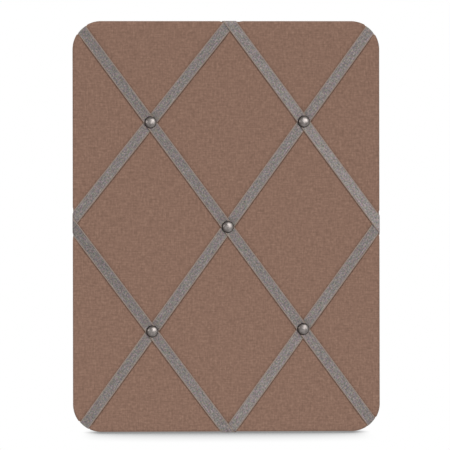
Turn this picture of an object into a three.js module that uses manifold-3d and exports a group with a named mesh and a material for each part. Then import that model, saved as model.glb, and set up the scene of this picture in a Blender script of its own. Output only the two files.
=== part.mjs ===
// A ribbon memo board: a cork board with a padded front, wrapped in woven cloth and crossed by a diamond
// lattice of ribbons, with a domed nail through each crossing. It hangs on a wall by a sawtooth hanger.
// Millimetres. +X is to the right as seen from the front, +Z is up, the front faces -Y and the wall is at +Y.
// The origin is the middle of the hanger, on the face that lies against the wall.
import * as THREE from "three";
import { mergeVertices } from "three/addons/utils/BufferGeometryUtils.js";
import Module from "manifold-3d";

const wasm = await Module();
wasm.setup();

// Outline of the covered board
const BOARD_WIDTH = 279.4;
const BOARD_HEIGHT = 374.65;
const CORNER_RADIUS = 25.4;
const FRONT_EDGE_ROUND = 2;
const BACK_EDGE_ROUND = 1.5;

// Layers
const CLOTH_THICK = 0.5;
const PADDING_THICK = 4.5;
const CORK_THICK = 3;
const CORE_THICK = 4.8;
const HEM_WIDTH = 22;
const PANEL_THICK = 2;
const PANEL_INSET = 9;
const PANEL_BEVEL = 0.5;

// Clearances: between layers that wrap one another, under each ribbon, and around nails, brads and staples
const SEAT_GAP = 0.2;
const LAY_GAP = 0.15;
const HOLE_GAP = 0.15;

// Ribbons. A ribbon climbs onto one that it crosses over a ramp, and stays up a margin past its edges.
const RIBBON_WIDTH = 9.5;
const RIBBON_THICK = 0.4;
const TAIL_MARGIN = 3.5; // from the end of a ribbon to the raw edge of the hem
const CROSSING_MARGIN = 1.5;
const CROSSING_RAMP = 4;

// Each ribbon runs between two marks on the rim, a corner or the middle of an edge, given in half widths and
// half heights from the middle of the board. Laid by hand, each end slips along the edge off its mark.
const FALLING = [
  { name: "long", from: [-1, 1], to: [1, -1], slip: [2.5, -0.7] },
  { name: "upper", from: [0, 1], to: [1, 0], slip: [3.5, 2.3] },
  { name: "lower", from: [-1, 0], to: [0, -1], slip: [-0.1, 0.8] },
];
const RISING = [
  { name: "long", from: [-1, -1], to: [1, 1], slip: [5.3, -2.5] },
  { name: "upper", from: [-1, 0], to: [0, 1], slip: [6.5, 4.1] },
  { name: "lower", from: [0, -1], to: [1, 0], slip: [2.1, 2.2] },
];

// Domed nails, each through the crossing of a falling and a rising ribbon
const NAIL_HEAD_RADIUS = 5.55;
const NAIL_DOME = 2.7;
const NAIL_RIM = 0.5;
const NAIL_WALL = 0.6;
const NAIL_SHANK_RADIUS = 0.9;
const NAIL_TIP = 2.5;
const NAIL_BITE = 3.4; // depth in the core board
const NAILS = [
  { name: "centre", falling: "long", rising: "long" },
  { name: "top_left", falling: "long", rising: "upper" },
  { name: "top_right", falling: "upper", rising: "long" },
  { name: "bottom_left", falling: "lower", rising: "long" },
  { name: "bottom_right", falling: "long", rising: "lower" },
];

// Staples
const STAPLE_CROWN = 7.5;
const STAPLE_WIRE = 0.5;
const STAPLE_WIDTH = 0.7;
const STAPLE_TIP = 0.8;
const STAPLE_BITE = 3;
const RIBBON_STAPLE_MARGIN = 5; // from the end of a ribbon
const HEM_STAPLE_MARGIN = 9; // from the raw edge of the hem
const HEM_STAPLE_CLEAR = 14; // from a ribbon end or a corner, along the edge
const HEM_STAPLES_PER_STRETCH = 2;

// Brads
const BRAD_RADIUS = 0.7;
const BRAD_HEAD_RADIUS = 1.6;
const BRAD_HEAD_HEIGHT = 0.9;
const BRAD_TIP = 1.5;
const BRAD_BITE = 3.2;
const PANEL_BRAD_MARGIN = 6; // from the raw edge of the hem

// Hanger and bumpers, which hold the back panel the same distance off the wall
const WALL_GAP = 2.8;
const HANGER_LENGTH = 44;
const HANGER_HEIGHT = 9;
const HANGER_SHEET = 0.8;
const HANGER_FOOT = 9;
const HANGER_RAMP = 3;
const HANGER_CORNER = 2;
const HANGER_DROP = 40; // from the top edge of the board
const TOOTH_PITCH = 2.8;
const TOOTH_DEPTH = 1.6;
const TOOTH_COUNT = 7;
const BUMPER_RADIUS = 6;
const BUMPER_ROUND = 1.2;
const BUMPER_MARGIN = 14; // from the edges of the back panel

// Steps of the round forms
const CORNER_STEPS = 8;
const FRONT_ROUND_STEPS = 4;
const BACK_ROUND_STEPS = 3;
const RIBBON_STRANDS = 4;
const SIDE_STEPS = 4;
const TAIL_STEPS = 2;
const CROSSING_STEPS = 6;
const DOME_STEPS = 5;
const NAIL_SIDES = 18;
const NAIL_BORE_SIDES = 8;
const BRAD_SIDES = 8;
const BUMPER_SIDES = 16;
const HANGER_CORNER_STEPS = 4;

// Depths, with zero on the back of the panel and the front at negative depth
const panelFront = -PANEL_THICK;
const ribbonTailBack = panelFront - SEAT_GAP - STAPLE_WIRE;
const hemBack = ribbonTailBack - RIBBON_THICK - LAY_GAP;
const hemFront = hemBack - CLOTH_THICK;
const coreBack = hemFront - SEAT_GAP;
const coreFront = coreBack - CORE_THICK;
const corkFront = coreFront - CORK_THICK;
const paddingFront = corkFront - PADDING_THICK;
const clothBack = paddingFront - SEAT_GAP;
const clothFront = clothBack - CLOTH_THICK;
const nailSeat = clothFront - 2 * (RIBBON_THICK + LAY_GAP) - LAY_GAP;

const halfWidth = BOARD_WIDTH / 2;
const halfHeight = BOARD_HEIGHT / 2;
const layerInset = CLOTH_THICK + SEAT_GAP;
const frontRound = Math.min(FRONT_EDGE_ROUND, PADDING_THICK + layerInset);

// A ribbon's way over the rim: round the front edge, along the side, round the back edge
const frontArc = (frontRound * Math.PI) / 2;
const sideLength = hemBack - BACK_EDGE_ROUND - (clothFront + frontRound);
const backArc = (BACK_EDGE_ROUND * Math.PI) / 2;
const rimLength = frontArc + sideLength + backArc;
const tailReach = HEM_WIDTH - BACK_EDGE_ROUND - TAIL_MARGIN;

function finish(color, roughness, metalness = 0) {
  return new THREE.MeshStandardMaterial({ color, roughness, metalness });
}

const linen = finish(0x896c5e, 0.95);
const grosgrain = finish(0x86807c, 0.8);
const wadding = finish(0xe9e5dc, 1);
const cork = finish(0xb98b5c, 0.9);
const fibreboard = finish(0xb49a76, 0.85);
const hardboard = finish(0x4e4038, 0.75);
const pewter = finish(0x8f8986, 0.35, 1);
const zinc = finish(0xb4b6b8, 0.4, 1);
const rubber = finish(0x3b3937, 0.9);

const board = new THREE.Group();
board.position.set(0, -WALL_GAP, HANGER_DROP - halfHeight);

function addPiece(name, geometry, material) {
  const mesh = new THREE.Mesh(geometry, material);
  mesh.name = name;
  board.add(mesh);
  return mesh;
}

// Shares from 0 to 1
function shares(count) {
  return Array.from({ length: count + 1 }, (_, i) => i / count);
}

function solidOf(geometry, place = new THREE.Matrix4()) {
  const bare = new THREE.BufferGeometry();
  bare.setAttribute("position", geometry.getAttribute("position").clone());
  bare.setIndex(geometry.index);
  const merged = mergeVertices(bare.applyMatrix4(place));
  return new wasm.Manifold(
    new wasm.Mesh({
      numProp: 3,
      vertProperties: merged.getAttribute("position").array,
      triVerts: Uint32Array.from(merged.index.array),
    }),
  );
}

function geometryOf(solid) {
  const { vertProperties, triVerts } = solid.getMesh();
  const shared = new THREE.BufferGeometry();
  shared.setAttribute("position", new THREE.BufferAttribute(vertProperties, 3));
  shared.setIndex(new THREE.BufferAttribute(triVerts, 1));
  const geometry = shared.toNonIndexed();
  geometry.computeVertexNormals();
  return geometry;
}

function cut(geometry, tools) {
  return geometryOf(tools.reduce((solid, tool) => solid.subtract(tool), solidOf(geometry)));
}

// Rings of equally many points, each joined to the next, with a lid on the first and on the last. Seen along
// the way from ring to ring, each ring and each triangle of the lid runs anticlockwise.
function loft(rings, lid) {
  const around = rings[0].length;
  const index = [];
  for (let r = 0; r + 1 < rings.length; r++) {
    for (let i = 0; i < around; i++) {
      const here = r * around + i;
      const next = r * around + ((i + 1) % around);
      index.push(here, next + around, next, here, here + around, next + around);
    }
  }
  const last = (rings.length - 1) * around;
  for (const [a, b, c] of lid) index.push(a, b, c, last + a, last + c, last + b);
  const geometry = new THREE.BufferGeometry().setFromPoints(rings.flat());
  geometry.setIndex(index);
  geometry.computeVertexNormals();
  return geometry;
}

// The board's outline at a depth, moved in from the rim
function outline(inset, depth) {
  const radius = Math.max(CORNER_RADIUS - inset, SEAT_GAP);
  const reachX = halfWidth - inset - radius;
  const reachZ = halfHeight - inset - radius;
  const corners = [[1, 1], [-1, 1], [-1, -1], [1, -1]];
  return corners.flatMap(([sideX, sideZ], quarter) =>
    shares(CORNER_STEPS).map((share) => {
      const angle = ((quarter + share) * Math.PI) / 2;
      const x = sideX * reachX + radius * Math.cos(angle);
      return new THREE.Vector3(x, depth, sideZ * reachZ + radius * Math.sin(angle));
    }),
  );
}

// A layer of the board, from its edge profile of insets and depths
function layer(profile) {
  const rings = profile.map(([inset, depth]) => outline(inset, depth));
  const fan = rings[0].slice(2).map((_, i) => [0, i + 1, i + 2]);
  return loft(rings, fan);
}

// Quarter rounds of an edge profile: from the front face to the side, and from the side to the back face
function frontEdge(inset, depth, radius) {
  return shares(FRONT_ROUND_STEPS).map((share) => {
    const angle = (share * Math.PI) / 2;
    return [inset + radius * (1 - Math.sin(angle)), depth + radius * (1 - Math.cos(angle))];
  });
}

function backEdge(inset, depth, radius) {
  return shares(BACK_ROUND_STEPS).map((share) => {
    const angle = (share * Math.PI) / 2;
    return [inset + radius * (1 - Math.cos(angle)), depth - radius * (1 - Math.sin(angle))];
  });
}

// A ribbon's centre line as it runs on the flat front, in the plane of the board
function markOnRim([shareX, shareZ], slip) {
  const mark = new THREE.Vector2(shareX * halfWidth, shareZ * halfHeight);
  const alongSide = shareZ === 0;
  return mark.add(alongSide ? new THREE.Vector2(0, slip) : new THREE.Vector2(slip, 0));
}

function centreLine({ name, from, to, slip }) {
  const start = markOnRim(from, slip[0]);
  const end = markOnRim(to, slip[1]);
  const along = end.clone().sub(start).normalize();
  const middle = start.add(end).multiplyScalar(0.5);
  return { name, marks: [from, to], middle, along, across: new THREE.Vector2(along.y, -along.x) };
}

function crossing(one, other) {
  const apart = other.middle.clone().sub(one.middle);
  const run = apart.dot(other.across) / one.along.dot(other.across);
  return { run, spot: one.middle.clone().addScaledVector(one.along, run) };
}

function quarterTurn(vector) {
  return new THREE.Vector2(-vector.y, vector.x);
}

// A straight edge of the flat front, met by strands that run ahead
function straightEdge(strand, ahead, outward, distance) {
  const leave = (across) => (distance - strand(across, 0).dot(outward)) / ahead.dot(outward);
  const base = strand(0, leave(0));
  const tangent = quarterTurn(outward);
  return {
    leave,
    outward: () => outward,
    alongOf: (point) => point.clone().sub(base).dot(tangent),
    at: (along, out) => base.clone().addScaledVector(tangent, along).addScaledVector(outward, out),
  };
}

// A corner of the flat front. Lengths along it hold at every distance out, so a ribbon keeps its width.
function cornerEdge(strand, ahead, centre, radius) {
  const leave = (across) => {
    const fromCentre = strand(across, 0).sub(centre);
    const half = fromCentre.dot(ahead);
    return Math.sqrt(half * half - fromCentre.lengthSq() + radius * radius) - half;
  };
  const angleOf = (point) => Math.atan2(point.y - centre.y, point.x - centre.x);
  const baseAngle = angleOf(strand(0, leave(0)));
  const outward = (along, out) => {
    const angle = baseAngle + along / (radius + out);
    return new THREE.Vector2(Math.cos(angle), Math.sin(angle));
  };
  return {
    leave,
    outward,
    alongOf: (point) => radius * (angleOf(point) - baseAngle),
    at: (along, out) => outward(along, out).multiplyScalar(radius + out).add(centre),
  };
}

// Distance out from the flat front's edge, and depth, of a point that lies a height above the cloth
function rimPoint(over, height) {
  if (over < frontArc) {
    const angle = over / frontRound;
    const radius = frontRound + height;
    return { out: radius * Math.sin(angle), depth: clothFront + frontRound - radius * Math.cos(angle) };
  }
  const pastFront = over - frontArc;
  if (pastFront < sideLength) {
    return { out: frontRound + height, depth: clothFront + frontRound + pastFront };
  }
  const angle = (pastFront - sideLength) / BACK_EDGE_ROUND;
  const radius = BACK_EDGE_ROUND + height;
  return {
    out: frontRound - BACK_EDGE_ROUND + radius * Math.cos(angle),
    depth: hemBack - BACK_EDGE_ROUND + radius * Math.sin(angle),
  };
}

// One end of a ribbon. It runs straight on, as if the front, the side and the back were unrolled flat.
// Each strand, at its distance across from the centre line, leaves the flat front after its own run.
function ribbonEnd(line, sense) {
  const ahead = line.along.clone().multiplyScalar(sense);
  const strand = (across, run) =>
    line.middle.clone().addScaledVector(line.across, across).addScaledVector(ahead, run);
  const side = new THREE.Vector2(Math.sign(ahead.x), Math.sign(ahead.y));
  const centre = new THREE.Vector2(halfWidth - CORNER_RADIUS, halfHeight - CORNER_RADIUS).multiply(side);
  const flat = new THREE.Vector2(halfWidth - frontRound, halfHeight - frontRound);
  const runToSide = (side.x * flat.x - line.middle.x) / ahead.x;
  const runToEnd = (side.y * flat.y - line.middle.y) / ahead.y;
  const pastCentre = strand(0, Math.min(runToSide, runToEnd)).sub(centre).multiply(side);
  const overSide = runToSide < runToEnd;
  const outward = overSide ? new THREE.Vector2(side.x, 0) : new THREE.Vector2(0, side.y);
  const edge =
    pastCentre.x > 0 && pastCentre.y > 0
      ? cornerEdge(strand, ahead, centre, CORNER_RADIUS - frontRound)
      : straightEdge(strand, ahead, outward, overSide ? flat.x : flat.y);
  const cosine = ahead.dot(edge.outward(0, 0));
  const sine = ahead.dot(quarterTurn(edge.outward(0, 0)));

  // Place of a strand's point that lies a way over the rim, and a height above the cloth
  function place(across, over, height) {
    const leave = edge.leave(across);
    if (over <= 0) {
      const spot = strand(across, leave + over / cosine);
      return new THREE.Vector3(spot.x, clothFront - height, spot.y);
    }
    const onRim = Math.min(over, rimLength);
    const { out, depth } = rimPoint(onRim, height);
    const drift = (onRim / cosine) * sine;
    const spot = edge.at(edge.alongOf(strand(across, leave)) + drift, out);
    const inward = edge.outward(drift, out);
    const onBack = over - onRim;
    spot.addScaledVector(inward, -onBack).addScaledVector(quarterTurn(inward), (onBack / cosine) * sine);
    return new THREE.Vector3(spot.x, depth, spot.y);
  }

  const unrolled = (across, over) => strand(across, edge.leave(across) + over / cosine);
  return { place, unrolled, run: edge.leave(0) };
}

const plateau = RIBBON_WIDTH / 2 + CROSSING_MARGIN;

// Height of a ribbon's underside above the cloth, where it climbs onto the ribbons that lie under it
function underside(point, ribbonsBelow) {
  const climbs = ribbonsBelow.map((below) => {
    const away = Math.abs(point.clone().sub(below.middle).dot(below.across));
    return 1 - THREE.MathUtils.smoothstep(away, plateau, plateau + CROSSING_RAMP);
  });
  return LAY_GAP + Math.max(0, ...climbs) * (RIBBON_THICK + LAY_GAP);
}

// A ribbon from tail to tail. The stations across it lie parallel to the rim near the ends, and square across
// the ribbon where it climbs over others on the front.
function ribbon(line, ribbonsBelow) {
  const [start, end] = [ribbonEnd(line, -1), ribbonEnd(line, 1)];
  const climbLength = plateau + CROSSING_RAMP + RIBBON_WIDTH / 2;
  const crossingRuns = ribbonsBelow.map((below) => crossing(line, below).run);

  const onFront = (run) => ({
    unrolled: (across) =>
      line.middle.clone().addScaledVector(line.along, run).addScaledVector(line.across, across),
    place(across, height) {
      const spot = this.unrolled(across);
      return new THREE.Vector3(spot.x, clothFront - height, spot.y);
    },
  });
  const frontStations = crossingRuns
    .filter((run) => run > 2 * climbLength - start.run && run < end.run - 2 * climbLength)
    .flatMap((run) => shares(2 * CROSSING_STEPS).map((share) => run + (2 * share - 1) * climbLength))
    .sort((a, b) => a - b)
    .map(onFront);

  function rimStations(rim, sense) {
    const climbs = crossingRuns.some((run) => sense * run > rim.run - 2 * climbLength);
    const approach = climbs ? shares(CROSSING_STEPS).map((share) => (share - 1) * climbLength) : [0];
    const overs = [
      ...approach,
      ...shares(FRONT_ROUND_STEPS).slice(1).map((share) => share * frontArc),
      ...shares(climbs ? SIDE_STEPS : 1).slice(1).map((share) => frontArc + share * sideLength),
      ...shares(BACK_ROUND_STEPS).slice(1).map((share) => frontArc + sideLength + share * backArc),
      ...shares(climbs ? TAIL_STEPS : 1).slice(1).map((share) => rimLength + share * tailReach),
    ];
    return overs.map((over) => ({
      unrolled: (across) => rim.unrolled(across, over),
      place: (across, height) => rim.place(across, over, height),
    }));
  }
  const stations = [...rimStations(start, -1).reverse(), ...frontStations, ...rimStations(end, 1)];

  const strands = shares(RIBBON_STRANDS - 1).map((share) => (share - 0.5) * RIBBON_WIDTH);
  const rings = stations.map((station) => {
    const heights = strands.map((across) => underside(station.unrolled(across), ribbonsBelow));
    const below = strands.map((across, i) => station.place(across, heights[i]));
    const above = strands.map((across, i) => station.place(across, heights[i] + RIBBON_THICK));
    return [...below, ...above.reverse()];
  });
  const last = 2 * RIBBON_STRANDS - 1;
  const lid = strands.slice(1).flatMap((_, i) => [
    [i, i + 1, last - i - 1],
    [i, last - i - 1, last - i],
  ]);

  const staplePlace = rimLength + tailReach - RIBBON_STAPLE_MARGIN;
  const tails = [start, end].map(({ place }, i) => {
    const spot = place(0, staplePlace, LAY_GAP + RIBBON_THICK);
    const tip = place(0, rimLength + tailReach, LAY_GAP);
    const heading = tip.clone().sub(place(0, rimLength, LAY_GAP));
    return { spot, tip, angle: Math.atan2(heading.x, heading.z), mark: line.marks[i] };
  });
  return { geometry: loft(rings, lid), tails };
}

// Nail: a hollow dome on a pointed shank, with zero height where the dome's rim rests
function nail(length) {
  const domeArc = shares(DOME_STEPS).map((share) => (share * Math.PI) / 2);
  const innerRadius = NAIL_HEAD_RADIUS - NAIL_WALL;
  const rootAngle = Math.asin(NAIL_SHANK_RADIUS / innerRadius);
  const hollowArc = shares(DOME_STEPS - 2).map((share) => Math.PI / 2 + share * (rootAngle - Math.PI / 2));
  const arcPoint = (radius, height, angle) =>
    new THREE.Vector2(radius * Math.sin(angle), -NAIL_RIM - height * Math.cos(angle));
  const profile = [
    ...domeArc.map((angle) => arcPoint(NAIL_HEAD_RADIUS, NAIL_DOME - NAIL_RIM, angle)),
    new THREE.Vector2(NAIL_HEAD_RADIUS, 0),
    new THREE.Vector2(innerRadius, 0),
    ...hollowArc.map((angle) => arcPoint(innerRadius, NAIL_DOME - NAIL_RIM - NAIL_WALL, angle)),
    new THREE.Vector2(NAIL_SHANK_RADIUS, length - NAIL_TIP),
    new THREE.Vector2(0, length),
  ];
  return new THREE.LatheGeometry(profile, NAIL_SIDES);
}

// Staple with its crown on the face at zero height and its chisel points towards the front
function staple(leg) {
  const half = STAPLE_CROWN / 2;
  const outlinePoints = [
    [-half, STAPLE_TIP - leg],
    [STAPLE_WIRE - half, -leg],
    [STAPLE_WIRE - half, 0],
    [half - STAPLE_WIRE, 0],
    [half - STAPLE_WIRE, -leg],
    [half, STAPLE_TIP - leg],
    [half, STAPLE_WIRE],
    [-half, STAPLE_WIRE],
  ].map(([x, y]) => new THREE.Vector2(x, y));
  const wire = { depth: STAPLE_WIDTH, bevelEnabled: false };
  return new THREE.ExtrudeGeometry(new THREE.Shape(outlinePoints), wire).translate(0, 0, -STAPLE_WIDTH / 2);
}

function stapleBores(leg, place) {
  const depth = leg + STAPLE_WIRE + HOLE_GAP;
  return [-1, 1].map((side) => {
    const bore = new THREE.BoxGeometry(STAPLE_WIRE + 2 * HOLE_GAP, depth, STAPLE_WIDTH + 2 * HOLE_GAP);
    bore.translate((side * (STAPLE_CROWN - STAPLE_WIRE)) / 2, STAPLE_WIRE - depth / 2, 0);
    return solidOf(bore, place);
  });
}

// Brad with its tip towards the front: a flush head sinks below zero height, a proud one stands on it
function brad(length, flush) {
  const head = flush
    ? [[BRAD_RADIUS, -BRAD_HEAD_HEIGHT], [BRAD_HEAD_RADIUS, 0]]
    : [[BRAD_RADIUS, 0], [BRAD_HEAD_RADIUS, 0], [BRAD_HEAD_RADIUS / 2, BRAD_HEAD_HEIGHT]];
  const top = flush ? 0 : BRAD_HEAD_HEIGHT;
  const profile = [[0, -length], [BRAD_RADIUS, BRAD_TIP - length], ...head, [0, top]];
  return new THREE.LatheGeometry(profile.map(([x, y]) => new THREE.Vector2(x, y)), BRAD_SIDES);
}

function bradBore(length, flush, place) {
  const bottom = -length - HOLE_GAP;
  const radius = BRAD_RADIUS + HOLE_GAP;
  const mouth = BRAD_HEAD_RADIUS + HOLE_GAP;
  const top = BRAD_HEAD_HEIGHT;
  const sink = flush ? [[radius, -BRAD_HEAD_HEIGHT - HOLE_GAP], [mouth, 0], [mouth, top]] : [[radius, top]];
  const profile = [[0, bottom], [radius, bottom], ...sink, [0, top]];
  const bore = new THREE.LatheGeometry(profile.map(([x, y]) => new THREE.Vector2(x, y)), BRAD_SIDES);
  return solidOf(bore, place);
}

// Hanger: a toothed strip, bent like a low bridge. Its front view and its side view meet in the bent sheet.
const hangerHole = (HANGER_LENGTH - HANGER_FOOT) / 2;

function hanger() {
  const [endX, endZ] = [HANGER_LENGTH / 2, HANGER_HEIGHT / 2];
  const view = new THREE.Shape();
  view.moveTo(-endX + HANGER_CORNER, -endZ);
  for (let tooth = 0; tooth < TOOTH_COUNT; tooth++) {
    const x = (tooth - TOOTH_COUNT / 2) * TOOTH_PITCH;
    view.lineTo(x, -endZ);
    view.lineTo(x + TOOTH_PITCH / 2, TOOTH_DEPTH - endZ);
  }
  view.lineTo((TOOTH_COUNT * TOOTH_PITCH) / 2, -endZ);
  for (const [quarter, sideX, sideZ] of [[-1, 1, -1], [0, 1, 1], [1, -1, 1], [2, -1, -1]]) {
    const from = (quarter * Math.PI) / 2;
    const [x, z] = [sideX * (endX - HANGER_CORNER), sideZ * (endZ - HANGER_CORNER)];
    view.absarc(x, z, HANGER_CORNER, from, from + Math.PI / 2);
  }
  for (const side of [-1, 1]) {
    view.holes.push(new THREE.Path().absarc(side * hangerHole, 0, BRAD_RADIUS + HOLE_GAP, 0, 2 * Math.PI));
  }
  const through = new THREE.ExtrudeGeometry(view, {
    depth: 2 * WALL_GAP,
    bevelEnabled: false,
    curveSegments: HANGER_CORNER_STEPS,
  });
  through.rotateX(Math.PI / 2).translate(0, 1.5 * WALL_GAP, 0);

  const footEnd = endX - HANGER_FOOT;
  const bridgeEnd = footEnd - HANGER_RAMP;
  const rise = WALL_GAP - HANGER_SHEET;
  const lower = [
    [-endX, 0],
    [-footEnd, 0],
    [-bridgeEnd, rise],
    [bridgeEnd, rise],
    [footEnd, 0],
    [endX, 0],
  ].map(([x, y]) => new THREE.Vector2(x, y));
  const upper = lower.map(({ x, y }) => new THREE.Vector2(x, y + HANGER_SHEET)).reverse();
  const bent = new THREE.ExtrudeGeometry(new THREE.Shape([...lower, ...upper]), {
    depth: 2 * HANGER_HEIGHT,
    bevelEnabled: false,
  }).translate(0, 0, -HANGER_HEIGHT);
  return geometryOf(solidOf(through).intersect(solidOf(bent)));
}

function bumper() {
  const rounding = shares(BACK_ROUND_STEPS).map((share) => {
    const angle = (share * Math.PI) / 2;
    const radius = BUMPER_RADIUS - BUMPER_ROUND * (1 - Math.cos(angle));
    return new THREE.Vector2(radius, WALL_GAP - BUMPER_ROUND * (1 - Math.sin(angle)));
  });
  const profile = [
    new THREE.Vector2(0, 0),
    new THREE.Vector2(BUMPER_RADIUS, 0),
    ...rounding,
    new THREE.Vector2(0, WALL_GAP),
  ];
  return new THREE.LatheGeometry(profile, BUMPER_SIDES);
}

// Ribbons and nails
const rising = RISING.map(centreLine);
const falling = FALLING.map(centreLine);
const ribbons = [
  ...rising.map((line) => ({ name: `ribbon_rising_${line.name}`, ...ribbon(line, []) })),
  ...falling.map((line) => ({ name: `ribbon_falling_${line.name}`, ...ribbon(line, rising) })),
];

const nailLength = coreFront + NAIL_BITE - nailSeat;
const nailBores = NAILS.map((row) => {
  const line = falling.find(({ name }) => name === row.falling);
  const { spot } = crossing(line, rising.find(({ name }) => name === row.rising));
  const mesh = addPiece(`nail_${row.name}`, nail(nailLength), pewter);
  mesh.position.set(spot.x, nailSeat, spot.y);
  const depth = nailLength + HOLE_GAP;
  const radius = (NAIL_SHANK_RADIUS + HOLE_GAP) / Math.cos(Math.PI / NAIL_BORE_SIDES);
  const bore = new THREE.CylinderGeometry(radius, radius, depth, NAIL_BORE_SIDES).translate(0, depth / 2, 0);
  mesh.updateMatrix();
  return solidOf(bore, mesh.matrix);
});

// Staples through the ribbon tails, square across them
function addStaple(name, spot, angle, leg) {
  const mesh = addPiece(name, staple(leg), zinc);
  mesh.position.copy(spot);
  mesh.rotation.y = angle;
  mesh.updateMatrix();
  return stapleBores(leg, mesh.matrix);
}

const tails = ribbons.flatMap((piece) => piece.tails);
const ribbonStapleLeg = ribbonTailBack - coreBack + STAPLE_BITE;
const ribbonStapleBores = tails.flatMap(({ spot, angle }, i) =>
  addStaple(`ribbon_staple_${i + 1}`, spot, angle, ribbonStapleLeg),
);

// Staples along the hem, spread over each stretch from the ribbon ends in the middle of an edge to the corner
// and the ribbon ends there
const hemStapleInset = HEM_WIDTH - HEM_STAPLE_MARGIN;
const hemStapleLeg = hemBack - coreBack + STAPLE_BITE;

function hemStretch(alongX, edgeSide, halfSide) {
  const [alongHalf, outHalf] = alongX ? [halfWidth, halfHeight] : [halfHeight, halfWidth];
  const tipsAt = (alongShare) => {
    const [markX, markZ] = alongX ? [alongShare, edgeSide] : [edgeSide, alongShare];
    return tails
      .filter(({ mark: [x, z] }) => x === markX && z === markZ)
      .map(({ tip }) => halfSide * (alongX ? tip.x : tip.z));
  };
  const first = Math.max(0, ...tipsAt(0)) + HEM_STAPLE_CLEAR;
  const last = Math.min(alongHalf - CORNER_RADIUS, ...tipsAt(halfSide)) - HEM_STAPLE_CLEAR;
  return shares(HEM_STAPLES_PER_STRETCH - 1).map((share) => {
    const along = halfSide * (first + share * (last - first));
    const out = edgeSide * (outHalf - hemStapleInset);
    const spot = alongX ? [along, hemBack, out] : [out, hemBack, along];
    return { spot: new THREE.Vector3(...spot), angle: alongX ? 0 : Math.PI / 2 };
  });
}

const hemStaples = [true, false].flatMap((alongX) =>
  [-1, 1].flatMap((edgeSide) => [-1, 1].flatMap((halfSide) => hemStretch(alongX, edgeSide, halfSide))),
);
const hemStapleBores = hemStaples.flatMap(({ spot, angle }, i) =>
  addStaple(`hem_staple_${i + 1}`, spot, angle, hemStapleLeg),
);

// Brads through the back panel, two on each side, just inside the hem
const bradInset = HEM_WIDTH + PANEL_BRAD_MARGIN;
const panelBradLength = BRAD_BITE - coreBack;
const panelBradBores = [-1, 1]
  .flatMap((a) => [-1, 1].flatMap((b) => [
    [(a * halfWidth) / 2, b * (halfHeight - bradInset)],
    [a * (halfWidth - bradInset), (b * halfHeight) / 2],
  ]))
  .map(([x, z], i) => {
    const mesh = addPiece(`panel_brad_${i + 1}`, brad(panelBradLength, true), zinc);
    mesh.position.set(x, 0, z);
    mesh.updateMatrix();
    return bradBore(panelBradLength, true, mesh.matrix);
  });

// Hanger at the top, with a brad in each foot
const hangerZ = halfHeight - HANGER_DROP;
addPiece("hanger", hanger(), zinc).position.set(0, 0, hangerZ);
const hangerBradLength = panelBradLength + HANGER_SHEET;
const hangerBradBores = [["left", -1], ["right", 1]].map(([name, side]) => {
  const mesh = addPiece(`hanger_brad_${name}`, brad(hangerBradLength, false), zinc);
  mesh.position.set(side * hangerHole, HANGER_SHEET, hangerZ);
  mesh.updateMatrix();
  return bradBore(hangerBradLength, false, mesh.matrix);
});

for (const [name, side] of [["left", -1], ["right", 1]]) {
  const inset = PANEL_INSET + BUMPER_MARGIN;
  const mesh = addPiece(`bumper_${name}`, bumper(), rubber);
  mesh.position.set(side * (halfWidth - inset), 0, inset - halfHeight);
}

// Layers, each drilled for what goes through it
const stapleBoreList = [...ribbonStapleBores, ...hemStapleBores];
const bradBoreList = [...panelBradBores, ...hangerBradBores];

const coverProfile = [
  ...frontEdge(0, clothFront, frontRound),
  ...backEdge(0, hemBack, BACK_EDGE_ROUND),
  [HEM_WIDTH, hemBack],
  [HEM_WIDTH, hemFront],
  ...backEdge(CLOTH_THICK, hemFront, BACK_EDGE_ROUND - CLOTH_THICK).reverse(),
  ...frontEdge(CLOTH_THICK, clothBack, frontRound - CLOTH_THICK).reverse(),
];
addPiece("fabric_cover", cut(layer(coverProfile), [...nailBores, ...stapleBoreList]), linen);

const paddingProfile = [
  ...frontEdge(layerInset, paddingFront, frontRound - layerInset),
  [layerInset, corkFront],
];
addPiece("padding", cut(layer(paddingProfile), nailBores), wadding);

const corkProfile = [[layerInset, corkFront], [layerInset, coreFront]];
addPiece("cork_sheet", cut(layer(corkProfile), nailBores), cork);

const coreProfile = [
  [layerInset, coreFront],
  ...backEdge(layerInset, coreBack, BACK_EDGE_ROUND - layerInset),
];
const coreBores = [...nailBores, ...stapleBoreList, ...bradBoreList];
addPiece("core_board", cut(layer(coreProfile), coreBores), fibreboard);

const panelProfile = [[PANEL_INSET, panelFront], [PANEL_INSET, -PANEL_BEVEL], [PANEL_INSET + PANEL_BEVEL, 0]];
addPiece("back_panel", cut(layer(panelProfile), bradBoreList), hardboard);

for (const { name, geometry } of ribbons) {
  addPiece(name, cut(geometry, [...nailBores, ...ribbonStapleBores]), grosgrain);
}

const memoBoard = new THREE.Group();
memoBoard.add(board);

export default memoBoard;
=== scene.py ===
# %% [markdown]
# # A ribbon memo board
# The board is a stack: a stiff core, a sheet of cork and a layer of wadding, wrapped in brown
# linen. Six grey ribbons cross its face and run over the edge to the back, and a domed nail pins
# each crossing. The solids of the frame have the right sizes and places already. This lesson adds
# what the eye looks for: the weave and the rolled edge of the linen, the ribs of the ribbon, and
# the antique finish of the nails.

import math

import bmesh
import bpy
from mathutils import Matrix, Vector
from mathutils.bvhtree import BVHTree
from mathutils.kdtree import KDTree


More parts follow.
